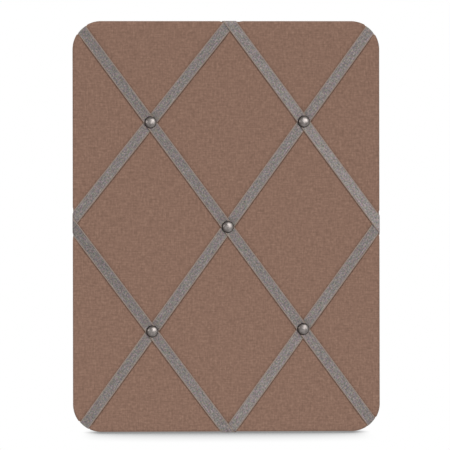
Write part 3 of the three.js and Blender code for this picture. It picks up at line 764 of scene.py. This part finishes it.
# The hem is held down up to the first distance from each of these, and free past the second.
FROM_TAIL = (5.5 * MM, 9 * MM)
FROM_EDGE = (2 * MM, 8 * MM)
FROM_CORNER = (0, 5 * MM)
FROM_STAPLE = (2 * MM, 6 * MM)


def smoothstep(value, low, high):
    """Rises gently from 0 at the low value to 1 at the high one."""
    share = min(max((value - low) / (high - low), 0), 1)
    return share * share * (3 - 2 * share)


def nearest(spot, places):
    return min((spot - place).length for place in places)


def pleat(outward):
    """Height of the pleats in one direction round a corner."""
    turn = math.atan2(abs(outward.z), abs(outward.x)) / (math.pi / 2) * len(PLEATS)
    fold = min(int(turn), len(PLEATS) - 1)
    phase = turn - fold
    lean = phase / PLEAT_LEAN if phase < PLEAT_LEAN else (1 - phase) / (1 - PLEAT_LEAN)
    return PLEAT_HEIGHT * PLEATS[fold] * lean


def hem_rise(spot):
    """How far a point of the hem rises off the core."""
    inset, outward = rim_place(spot)
    if spot.y < HEM_BACK - CLOSE or inset < BACK_ROUND:
        return 0
    free = smoothstep(nearest(spot, tails), *FROM_TAIL) * smoothstep(inset, *FROM_EDGE)
    if min(abs(outward.x), abs(outward.z)) > CLOSE:
        return free * pleat(outward)
    to_end = HALF_HEIGHT - abs(spot.z - MIDDLE.z) if outward.x else HALF_WIDTH - abs(spot.x)
    free *= smoothstep(to_end - CORNER_RADIUS, *FROM_CORNER)
    return free * HEM_RISE * smoothstep(nearest(spot, crowns), *FROM_STAPLE)


wrap_places = [vertex.co.copy() for vertex in cover.data.vertices]
rises = [hem_rise(spot) for spot in wrap_places]
for vertex, rise in zip(cover.data.vertices, rises):
    vertex.co.y += rise
print(f"Hem: rises up to {max(rises) / MM:.2f} mm")

# %% [markdown]
# ## The wrapped cover: its swell
# The wadding is squeezed, and it pushes the linen out all over: forwards on the front, and
# outwards at the side as well. It can't do so where something holds the cloth down: under the
# nails, under the ribbons where they turn over the rim, along the lower edge, which carries the
# board's weight, and round the back, where the cloth lies on the hard core. So a ribbon sinks into
# the soft edge, and each nail sits in a dimple. The further a point lies from what holds it, the
# more it is pushed out.

# %% Find what holds the cloth
# The cloth is held down up to the first distance from each of these, and free past the second.
BESIDE_RIBBON = (0.2 * MM, 1.6 * MM)
BESIDE_NAIL = (0, 5 * MM)

NAIL_RADIUS = 5.55 * MM
NAILS = ("centre", "top_left", "top_right", "bottom_left", "bottom_right")
RIM_STEPS = 24  # places along a ribbon on the rim
LEAD_STEPS = 4  # and before it


def axis_place(node, depth):
    """A point on the axis of a round solid of the frame."""
    low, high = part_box(node)
    return Vector(((low.x + high.x) / 2, depth, (low.z + high.z) / 2))


nail_spots = [axis_place("nail_" + name, FRONT) for name in NAILS]
rim_spots = [end.place(0, RIM_LENGTH * step / RIM_STEPS, 0)
             for end in all_ends for step in range(-LEAD_STEPS, RIM_STEPS + 1)]
rim_tree = KDTree(len(rim_spots))
for number, spot in enumerate(rim_spots):
    rim_tree.insert(spot, number)
rim_tree.balance()


def from_nail(spot):
    return nearest(spot, nail_spots) - NAIL_RADIUS


def softness(depth):
    """1 at the front edge of the side, 0 at its back, where the cloth lies on the core."""
    return smoothstep(HEM_BACK - BACK_ROUND - depth, 0, SIDE_LENGTH)


def freedom(spot):
    """0 under a ribbon on the rim, 1 beside it."""
    return smoothstep(rim_tree.find(spot)[2] - RIBBON_WIDTH / 2, *BESIDE_RIBBON)


def looseness(spot):
    """0 where a nail, a ribbon on the rim or the core holds the cloth, 1 where it is free."""
    return softness(spot.y) * freedom(spot) * smoothstep(from_nail(spot), *BESIDE_NAIL)


loose = sum(looseness(spot) == 1 for spot in wrap_places)
print("Loose points:", loose, "of", len(wrap_places))

# %% Push the cloth out
PUFF = 0.85 * MM  # forwards
RIM_PUFF = 0.55 * MM  # outwards at the side
RIM_SINK = 0.3 * MM  # how far a ribbon presses the soft side in
LOWER_EDGE = (-1, -0.5)  # the outward Z where the side is held, and where it is free


def push(spot):
    """How the wadding moves a point of the tight wrap."""
    inset, outward = rim_place(spot)
    free = freedom(spot)
    bulge = RIM_PUFF * free * smoothstep(outward.z, *LOWER_EDGE) - RIM_SINK * (1 - free)
    sideways = bulge * softness(spot.y) * smoothstep(FRONT_ROUND - inset, 0, FRONT_ROUND)
    return outward * sideways - Vector((0, PUFF * looseness(spot), 0))


pushes = [push(spot) for spot in wrap_places]
for vertex, move in zip(cover.data.vertices, pushes):
    vertex.co += move
print(f"Pushed out up to {max(move.length for move in pushes) / MM:.2f} mm")

# %% [markdown]
# A cloth simulation then settles the front. Its edge and the cloth under the nails are pinned, and
# a light pressure from inside lifts the rest, so that the cloth lies in one smooth curve from nail
# to nail. The linen is pulled tight, so no point may move further than the cap.

# %% Let the front settle
SETTLE_PRESSURE = 4
SETTLE_STEPS = 20
SETTLE_CAP = 0.25 * MM

held = cover.vertex_groups.new(name="held")
held.add([vertex.index for vertex, spot in zip(cover.data.vertices, wrap_places)
          if spot.y > FRONT + CLOSE or looseness(spot) == 0], 1, "REPLACE")
pushed_places = [vertex.co.copy() for vertex in cover.data.vertices]
cloth = cover.modifiers.new("Cloth", "CLOTH")
cloth.settings.vertex_group_mass = held.name
cloth.settings.use_pressure = True
cloth.settings.uniform_pressure_force = SETTLE_PRESSURE
cloth.settings.effector_weights.gravity = 0
cloth.collision_settings.use_collision = False
for step in range(1, SETTLE_STEPS + 1):
    bpy.context.scene.frame_set(step)
apply_modifiers(cover)
bpy.context.scene.frame_set(1)
moved = []
for vertex, spot in zip(cover.data.vertices, pushed_places):
    move = vertex.co - spot
    moved.append(move.length)
    vertex.co = spot + move * min(1, SETTLE_CAP / max(move.length, CLOSE))
cover.vertex_groups.clear()
print(f"Settled: up to {max(moved) / MM:.2f} mm before the cap,",
      f"{sorted(moved)[len(moved) // 2] / MM:.2f} mm at the median")

# %% [markdown]
# ## The wrapped cover: its threads and its thickness
# The UV map holds the flat cut, in metres. Solidify then gives the cloth its thickness on the
# inside, so that its face stays where it is. The wadding and the ribbons will be fitted to its
# face, so that is kept first, and a ray from the front finds it.

# %% Finish the cover
CLOTH_THICK = 0.5 * MM
EDGE_SHADE_FADE = 2 * MM  # of the painted edge shade towards the hem
RAY_START = FRONT - 50 * MM

skin = BVHTree.FromPolygons([vertex.co for vertex in cover.data.vertices],
                            [face.vertices for face in cover.data.polygons])


def cloth_depth(spot):
    """Where the face of the cloth lies in front of a point."""
    return skin.ray_cast(Vector((spot.x, RAY_START, spot.z)), Vector((0, 1, 0)))[0].y


uv_map = cover.data.uv_layers.new(name="cut")
for loop in cover.data.loops:
    uv_map.data[loop.index].uv = flat_cut(wrap_places[loop.vertex_index])
# where the shade is painted: on the rolled edge, fading towards the hem
edges = cover.data.attributes.new("edge", "FLOAT", "POINT")
edges.data.foreach_set("value", [
    smoothstep(FRONT_ROUND - rim_place(spot)[0], 0, FRONT_ROUND)
    * smoothstep(HEM_BACK - spot.y, 0, EDGE_SHADE_FADE) for spot in wrap_places])
wall = cover.modifiers.new("Solidify", "SOLIDIFY")
wall.thickness = CLOTH_THICK
wall.offset = -1
apply_modifiers(cover)
bpy.ops.object.shade_smooth()
finish_piece(cover, linen, "fabric_cover")

# %% [markdown]
# ## The wadding
# The wadding is a mat cut to the shape of the board, squeezed under the cloth and round at its
# front edge. A box is bevelled twice, as the cover was, and cut into a grid whose points rise to
# the cloth, so that it fills the cover.

# %% Model the wadding
PAD_CORNER_SEGMENTS = 16
PAD_FRONT_SEGMENTS = 5
PAD_GAP = 0.2 * MM  # under the cloth
SMOOTH_ANGLE = math.radians(40)

pad_low, pad_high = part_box("padding")
pad_inset = HALF_WIDTH - pad_high.x
pad = add_block("wadding_pad", pad_low, pad_high)
round_edges(pad, at_corner(pad_low, pad_high), CORNER_RADIUS - pad_inset, PAD_CORNER_SEGMENTS)
round_edges(pad, at_depth(pad_low.y), FRONT_ROUND - pad_inset, PAD_FRONT_SEGMENTS)
cut_across((1, 0, 0), grid_places(pad_low.x + FRONT_ROUND, pad_high.x - FRONT_ROUND)[::2])
cut_across((0, 0, 1), grid_places(pad_low.z + FRONT_ROUND, pad_high.z - FRONT_ROUND)[::2])
bpy.ops.object.mode_set(mode="OBJECT")
for vertex in pad.data.vertices:
    if vertex.co.y < pad_low.y + CLOSE:
        vertex.co.y = cloth_depth(vertex.co) + CLOTH_THICK + PAD_GAP
bpy.ops.object.shade_smooth_by_angle(angle=SMOOTH_ANGLE)
finish_piece(pad, wadding, "padding")

# %% [markdown]
# ## The ribbons
# A ribbon starts as a flat grid: a few strands across and many rows along. Each vertex is then
# laid where the way of the ribbon puts it. The rows are close together round the rim and wider on
# the front. Where a falling ribbon meets a rising one it climbs onto it and comes down again, so
# no two ribbons share a place. A ribbon is held only at its nails and its ends. In between it
# stands off the cloth by a hair, and its tightly woven edges curl up a little more. That is what
# draws the thin dark line of shade along its lower edge.

# %% Find the height of a ribbon
CROSSING_MARGIN = 0.6 * MM
CROSSING_RAMP = 2.4 * MM
STAND_OFF = 0.2 * MM
EDGE_CURL = 0.35 * MM
CURL_POWER = 3  # the curl keeps close to the edge
# A ribbon lies down up to the first distance from each of these, and is free past the second.
NAIL_GRIP = (1 * MM, 4 * MM)
RIM_GRIP = (FRONT_ROUND, 4 * FRONT_ROUND)


def clear_of(spot, line):
    """0 where a point of the front lies under or over a ribbon, 1 where it is clear of it."""
    near = RIBBON_WIDTH / 2 + CROSSING_MARGIN
    return smoothstep(off_line(spot, line), near, near + CROSSING_RAMP)


def underside(spot, lines_below):
    """Height of a ribbon's underside off the cloth."""
    climb = 1 - min([1, *(clear_of(spot, line) for line in lines_below)])
    return LAY_GAP + climb * (RIBBON_THICK + LAY_GAP)


def lift(spot, offset, lines_above):
    """How far a ribbon stands off the cloth, at a point to the side of its centre line."""
    free = min([1, *(clear_of(spot, line) for line in lines_above)])
    free *= smoothstep(from_nail(spot), *NAIL_GRIP) * smoothstep(rim_place(spot)[0], *RIM_GRIP)
    return free * (STAND_OFF + EDGE_CURL * abs(2 * offset / RIBBON_WIDTH) ** CURL_POWER)


rising = [line for name, line in lines.items() if name.startswith("rising")]
falling = [line for name, line in lines.items() if name.startswith("falling")]
print(f"A ribbon that crosses another rises {(RIBBON_THICK + LAY_GAP) / MM:.2f} mm")

# %% Lay a ribbon
STRANDS = 8
RIM_ROWS = 56
FRONT_STEP = 1.2 * MM


def lay_ribbon(piece, ends, lines_below, lines_above):
    """Lays a grid of strands and rows along a ribbon's way, with U across and V along it."""
    start, end = ends
    front_rows = round((start.leave(0) + end.leave(0)) / FRONT_STEP)
    rows = 2 * RIM_ROWS + front_rows
    bpy.ops.object.select_all(action="DESELECT")
    bpy.ops.mesh.primitive_grid_add(x_subdivisions=STRANDS, y_subdivisions=rows, size=1)
    strip = bpy.context.object
    strip.name = piece
    rim_way = RIM_LENGTH + TAIL_REACH
    flat_places = []
    for vertex in strip.data.vertices:
        offset = vertex.co.x * RIBBON_WIDTH
        row = round((vertex.co.y + 0.5) * rows)
        if RIM_ROWS <= row <= RIM_ROWS + front_rows:
            first, last = -start.leave(offset), end.leave(offset)
            run = first + (last - first) * (row - RIM_ROWS) / front_rows
            spot = end.strand(offset, run)
            height = underside(spot, lines_below) + lift(spot, offset, lines_above)
            vertex.co = Vector((spot.x, cloth_depth(spot) - height, spot.z))
        else:
            rim, sense = (start, -1) if row < RIM_ROWS else (end, 1)
            past = RIM_ROWS - row if sense < 0 else row - RIM_ROWS - front_rows
            over = rim_way * past / RIM_ROWS
            run = rim.leave(offset) + over / rim.cosine
            out, depth = rim_profile(min(over, RIM_LENGTH), 0)
            sunk = RIM_SINK * softness(depth) * smoothstep(out, 0, FRONT_ROUND)
            height = underside(rim.strand(offset, run), lines_below) - sunk
            vertex.co = rim.place(offset, over, height)
            run *= sense
        flat_places.append((offset, run))
    return strip, flat_places


def drop_uv_maps(piece):
    while piece.data.uv_layers:
        piece.data.uv_layers.remove(piece.data.uv_layers[0])


print("A ribbon has", STRANDS, "strands, and", RIM_ROWS, "rows over each rim")

# %% Model the ribbons
RIBBON_BREAK = 0.12 * MM  # of its sharp edges
RIBBON_ANGLE = math.radians(50)

for name, (_, _, _, (first_tone, last_tone)) in WAYS.items():
    below, above = (rising, []) if name.startswith("falling") else ([], falling)
    strip, flat_places = lay_ribbon("ribbon_strip_" + name, ribbon_ends[name], below, above)
    drop_uv_maps(strip)
    uv_map = strip.data.uv_layers.new(name="strip")
    for loop in strip.data.loops:
        uv_map.data[loop.index].uv = flat_places[loop.vertex_index]
    # painted sheen: the tone drifts from one end of the ribbon to the other
    reach = ribbon_ends[name][1].leave(0)
    tones = strip.data.attributes.new("tone", "FLOAT", "POINT")
    tones.data.foreach_set("value", [
        first_tone + (last_tone - first_tone) * smoothstep(run, -reach, reach)
        for _, run in flat_places])
    front_face = min(strip.data.polygons, key=lambda face: face.center.y)
    if front_face.normal.y > 0:
        strip.data.flip_normals()
    wall = strip.modifiers.new("Solidify", "SOLIDIFY")
    wall.thickness = RIBBON_THICK
    wall.offset = 1
    soft_edge = strip.modifiers.new("Bevel", "BEVEL")
    soft_edge.width = RIBBON_BREAK
    soft_edge.segments = 2
    soft_edge.limit_method = "ANGLE"
    soft_edge.angle_limit = RIBBON_ANGLE
    apply_modifiers(strip)
    bpy.ops.object.shade_smooth_by_angle(angle=RIBBON_ANGLE)
    finish_piece(strip, grosgrain, "ribbon_" + name)

# %% [markdown]
# ## Turned pieces
# Nails, brads and bumpers are round, so each is a profile that is spun about its axis. The profile
# is drawn as by hand: a plane is merged to one vertex, which is extruded from point to point. What
# repeats is modelled once, at the origin and facing the front or the back, and copied to the place
# of each solid in the frame. The sizes of a profile are in millimetres.

# %% Define how to turn and copy a piece


def turned(name, profile, steps):
    """Spins a profile of radius and depth about the Y axis."""
    points = [Vector((radius, depth, 0)) * MM for radius, depth in profile]
    bpy.ops.object.select_all(action="DESELECT")
    bpy.ops.mesh.primitive_plane_add(size=MM)
    piece = bpy.context.object
    piece.name = name
    bpy.ops.object.mode_set(mode="EDIT")
    bpy.ops.mesh.select_mode(type="VERT")
    bpy.ops.mesh.select_all(action="SELECT")
    bpy.ops.mesh.merge(type="CENTER")
    bpy.ops.transform.translate(value=points[0])
    for before, after in zip(points, points[1:]):
        bpy.ops.mesh.extrude_vertices_move(TRANSFORM_OT_translate={"value": after - before})
    bpy.ops.mesh.select_all(action="SELECT")
    bpy.ops.mesh.spin(steps=steps, angle=2 * math.pi, center=(0, 0, 0), axis=(0, 1, 0))
    bpy.ops.mesh.select_all(action="SELECT")
    bpy.ops.mesh.remove_doubles(threshold=CLOSE)
    bpy.ops.mesh.normals_make_consistent(inside=False)
    bpy.ops.object.mode_set(mode="OBJECT")
    drop_uv_maps(piece)
    bpy.ops.object.shade_smooth_by_angle(angle=SMOOTH_ANGLE)
    return piece


def copy_to(model, name, place):
    select_only(model)
    bpy.ops.object.duplicate(linked=False)
    piece = bpy.context.object
    piece.name = name
    piece.location = place
    bpy.ops.object.transform_apply(location=True, rotation=True, scale=True)
    return piece


def discard(model):
    select_only(model)
    bpy.ops.object.delete()


def arc(radius, rise, first, last, steps):
    """Points of an elliptic arc about the axis, by the angle from the axis in degrees."""
    angles = [math.radians(first + (last - first) * step / steps) for step in range(steps + 1)]
    return [(radius * math.sin(angle), -rise * math.cos(angle)) for angle in angles]


print("Ready to turn nails, brads and bumpers")

# %% [markdown]
# ## The nails
# A nail is a hollow dome with a short straight rim, and a pointed shank that holds it in the core.
# The dome is stamped from sheet, so its underside follows its top. Each vertex gets its height,
# which the pewter's dark rim of wax and painted shade follows. The height also leans, so that the
# left side of each head is darker: that is painted shade.

# %% Model the nails
HEAD_RADIUS = NAIL_RADIUS / MM  # in millimetres, as the whole profile
NAIL_RISE = 2.2  # of the dome above its rim
NAIL_RIM = 0.5
NAIL_SHEET = 0.6  # thickness of the head
NAIL_BREAK = 0.15  # of the rim's sharp edge
SHANK_RADIUS = 0.9
SHANK_POINT = 2.5
SHADE_LEAN = 0.2

nail_low, nail_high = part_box("nail_centre")
nail_tip = (nail_high.y - nail_low.y) / MM - NAIL_RISE
dome = arc(HEAD_RADIUS, NAIL_RISE, first=0, last=90, steps=12)
rim = [(HEAD_RADIUS, NAIL_RIM - NAIL_BREAK), (HEAD_RADIUS - NAIL_BREAK, NAIL_RIM),
       (HEAD_RADIUS - NAIL_SHEET, NAIL_RIM)]
hollow = arc(HEAD_RADIUS - NAIL_SHEET, NAIL_RISE - NAIL_SHEET, first=90, last=11, steps=6)
shank = [(SHANK_RADIUS, nail_tip - SHANK_POINT), (0, nail_tip)]
nail_model = turned("nail_model", dome + rim + hollow + shank, steps=48)
# the height leans with x, which paints shade on the left side of the head
heights = nail_model.data.attributes.new("height", "FLOAT", "POINT")
heights.data.foreach_set("value", [
    (NAIL_RIM - v.co.y / MM) / (NAIL_RISE + NAIL_RIM) + SHADE_LEAN * v.co.x / NAIL_RADIUS
    for v in nail_model.data.vertices])

for corner in NAILS:
    node = "nail_" + corner
    rim_spot = axis_place(node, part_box(node)[0].y + NAIL_RISE * MM)
    nail = copy_to(nail_model, "domed_nail_" + corner, rim_spot)
    nail.visible_shadow = False  # the real light is so wide that the nails throw no shadow
    finish_piece(nail, pewter, node)
discard(nail_model)

# %% [markdown]
# ## The brads and the bumpers
# Eight brads hold the back panel, driven flush, with the small dimple of the punch in their heads.
# Two more hold the hanger, and their rounded heads stand proud of it. The bumpers are short rubber
# discs with a soft edge, slightly dished where they meet the wall.

# %% Model the brads
BRAD_RADIUS = 0.7
BRAD_POINT = 1.5
BRAD_HEAD = 1.6
BRAD_HEIGHT = 0.9

# The heads are drawn from the axis to the shank, with zero depth on the rear face.
flush_head = [(0, -0.15), (0.5, -0.12), (0.7, 0), (BRAD_HEAD - 0.1, 0), (BRAD_HEAD, -0.1),
              (BRAD_RADIUS, -BRAD_HEIGHT)]
proud_head = [(0, 0), (0.6, -0.08), (1.1, -0.3), (BRAD_HEAD - 0.1, -0.65), (BRAD_HEAD, -0.8),
              (BRAD_HEAD, -BRAD_HEIGHT), (BRAD_RADIUS, -BRAD_HEIGHT)]
for head, nodes in ((flush_head, [f"panel_brad_{number}" for number in range(1, 9)]),
                    (proud_head, ["hanger_brad_left", "hanger_brad_right"])):
    brad_low, brad_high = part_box(nodes[0])
    tip = (brad_low.y - brad_high.y) / MM
    shank = [(BRAD_RADIUS, tip + BRAD_POINT), (0, tip)]
    brad_model = turned(nodes[0] + "_model", head + shank, steps=24)
    for node in nodes:
        brad = copy_to(brad_model, "driven_" + node, axis_place(node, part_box(node)[1].y))
        finish_piece(brad, zinc, node)
    discard(brad_model)

# %% Model the bumpers
BUMPER_EDGE = 1.2  # radius of the soft edge

bumper_low, bumper_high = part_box("bumper_left")
bumper_radius = (bumper_high.x - bumper_low.x) / 2 / MM
bumper_depth = (bumper_high.y - bumper_low.y) / MM
dish = [(0, -0.12), (2.5, -0.08), (4, 0)]
turns = [math.radians(degrees) for degrees in range(90, -1, -15)]
soft_edge = [(bumper_radius - BUMPER_EDGE + BUMPER_EDGE * math.cos(turn),
              -BUMPER_EDGE + BUMPER_EDGE * math.sin(turn)) for turn in turns]
foot = [(bumper_radius, -bumper_depth), (0, -bumper_depth)]
bumper_model = turned("bumper_model", dish + soft_edge + foot, steps=40)
for side in ("left", "right"):
    node = "bumper_" + side
    bumper = copy_to(bumper_model, "rubber_disc_" + side, axis_place(node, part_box(node)[1].y))
    finish_piece(bumper, rubber, node)
discard(bumper_model)

# %% [markdown]
# ## What the frame already has right
# The cork, the core, the back panel, the hanger and the staples are plain shapes of sheet, board
# and wire. Their solids stay as they are and only get their materials.

# %% Dress the solids that stay
FINISHES = {"cork_sheet": cork, "core_board": fibreboard, "back_panel": hardboard,
            "hanger": zinc, "ribbon_staple": zinc, "hem_staple": zinc}
for name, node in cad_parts.items():
    for start, material in FINISHES.items():
        if name.startswith(start):
            node.material_slots[0].material = material
print("Dressed:", ", ".join(FINISHES))

# %% [markdown]
# ## The light
# The photograph has soft, even light that comes mostly from above: each ribbon has a thin shadow
# along its lower edges, and the cloth is equally bright all over. An even sky gives most of the
# light and a wide, soft sun adds the direction. Two softboxes give the nails their bright spots.
# The sky is white to the camera and to shiny metal, and dimmer as a lamp, so that the background
# is white while colours render about as they are written.

# %% Set the sky
SKY = 0.3  # as a lamp


def background_rays(tree):
    """1 for the rays that show the background: to the camera, off metal and through glass."""
    path = add_node(tree, "LightPath", {})
    direct = add_node(
        tree, "Math", {0: path.outputs["Is Camera Ray"], 1: path.outputs["Is Glossy Ray"]},
        operation="ADD")
    return add_node(
        tree, "Math", {0: direct, 1: path.outputs["Is Transmission Ray"]},
        operation="ADD", use_clamp=True)


world = bpy.data.worlds.new("studio")
bpy.context.scene.world = world
world.use_nodes = True
tree = world.node_tree
tree.nodes.clear()
strength = add_node(tree, "MapRange", {"Value": background_rays(tree), "To Min": SKY, "To Max": 1})
sky = add_node(tree, "Background", {"Color": WHITE, "Strength": strength})
add_node(tree, "OutputWorld", {"Surface": sky})
print("Sky:", SKY, "as a lamp")

# %% Set the lamps
SUN = 2.35
SUN_TILT = math.radians(28)  # from straight above towards the front
SUN_SPREAD = math.radians(5)
SOFTBOXES = {  # place and side in metres, then radiance
    "softbox_right": (Vector((0.68, -1.8, 0.45)), 1.3, 3.2),
    "softbox_left": (Vector((-1.2, -1.4, 0.17)), 0.5, 4.6),
}

bpy.ops.object.light_add(type="SUN", rotation=(SUN_TILT, 0, 0))
sun = bpy.context.object
sun.data.energy = SUN
sun.data.angle = SUN_SPREAD
sun.visible_glossy = False  # the softboxes shine in the metal instead
for name, (place, side, radiance) in SOFTBOXES.items():
    aim = Vector((0, FRONT, MIDDLE.z)) - place
    bpy.ops.object.light_add(
        type="AREA", location=place, rotation=aim.to_track_quat("-Z", "Y").to_euler())
    lamp = bpy.context.object
    lamp.name = name
    lamp.data.size = side
    lamp.data.energy = radiance * math.pi * side * side
    lamp.visible_diffuse = False  # it shines in the metal and doesn't light the cloth
print("Lamps: a sun,", ", ".join(SOFTBOXES))

# %% [markdown]
# ## The floor
# The board stands on a white floor, which shows only as a soft shadow along its lower edge. To the
# camera the floor is white, and it darkens where the board hides the sky from it. Ambient
# occlusion measures that. The shadow fades where the round corners lift off the floor. To all
# other rays the floor throws an even light back at the board, so that the lower edge of the cloth
# isn't dark.

# %% Make the floor
FLOOR_SIZE = 8  # m
FLOOR_GLOW = 1  # thrown back at the board
SHADOW_REACH = 143 * MM  # how near the board is when it hides the sky from the floor
CORNER_LIFT = 6 * MM  # in from the outline, where the shadow ends

bpy.ops.object.select_all(action="DESELECT")
bpy.ops.mesh.primitive_plane_add(size=FLOOR_SIZE, location=(0, 0, cad_box[0][2]))
bpy.ops.object.transform_apply(location=True, rotation=True, scale=True)
floor = bpy.context.object
floor.name = "floor"
paper = bpy.data.materials.new("white_paper")
paper.use_nodes = True
tree = paper.node_tree
open_sky = add_node(tree, "AmbientOcclusion", {"Distance": SHADOW_REACH}, samples=32)
shaded = add_node(
    tree, "ValToRGB", {"Fac": open_sky.outputs["AO"]},
    stops=((0.5, "#919191"), (0.54, "#b5b5b5"), (0.57, "#c9c9c9"), (0.64, "#dfdfdf"),
           (0.71, "#ededed"), (0.79, "#f7f7f7"), (0.88, "#ffffff")))
place = add_node(tree, "TexCoord", {}).outputs["Object"]
ways = add_node(tree, "SeparateXYZ", {"Vector": place})
from_middle = add_node(tree, "Math", {0: ways.outputs["X"]}, operation="ABSOLUTE")
past_corner = add_node(
    tree, "MapRange",
    {"Value": from_middle, "From Min": HALF_WIDTH - CORNER_RADIUS,
     "From Max": HALF_WIDTH - CORNER_LIFT},
    interpolation_type="SMOOTHSTEP")
glow = add_node(tree, "Mix", {"Factor": past_corner, "A": shaded, "B": WHITE}, data_type="RGBA")
white = add_node(tree, "Emission", {"Color": glow, "Strength": 1})
bounce = add_node(tree, "Emission", {"Color": WHITE, "Strength": FLOOR_GLOW})
both = add_node(tree, "MixShader", {"Fac": background_rays(tree), 1: bounce, 2: white})
tree.links.new(both.outputs["Shader"], tree.nodes["Material Output"].inputs["Surface"])
floor.data.materials.append(paper)
print("Floor at", round(cad_box[0][2] / MM, 1), "mm")

# %% [markdown]
# ## Finish
# The view transform is Standard, so that colours come out as they are written.

# %% Finish
bpy.context.scene.view_settings.view_transform = "Standard"
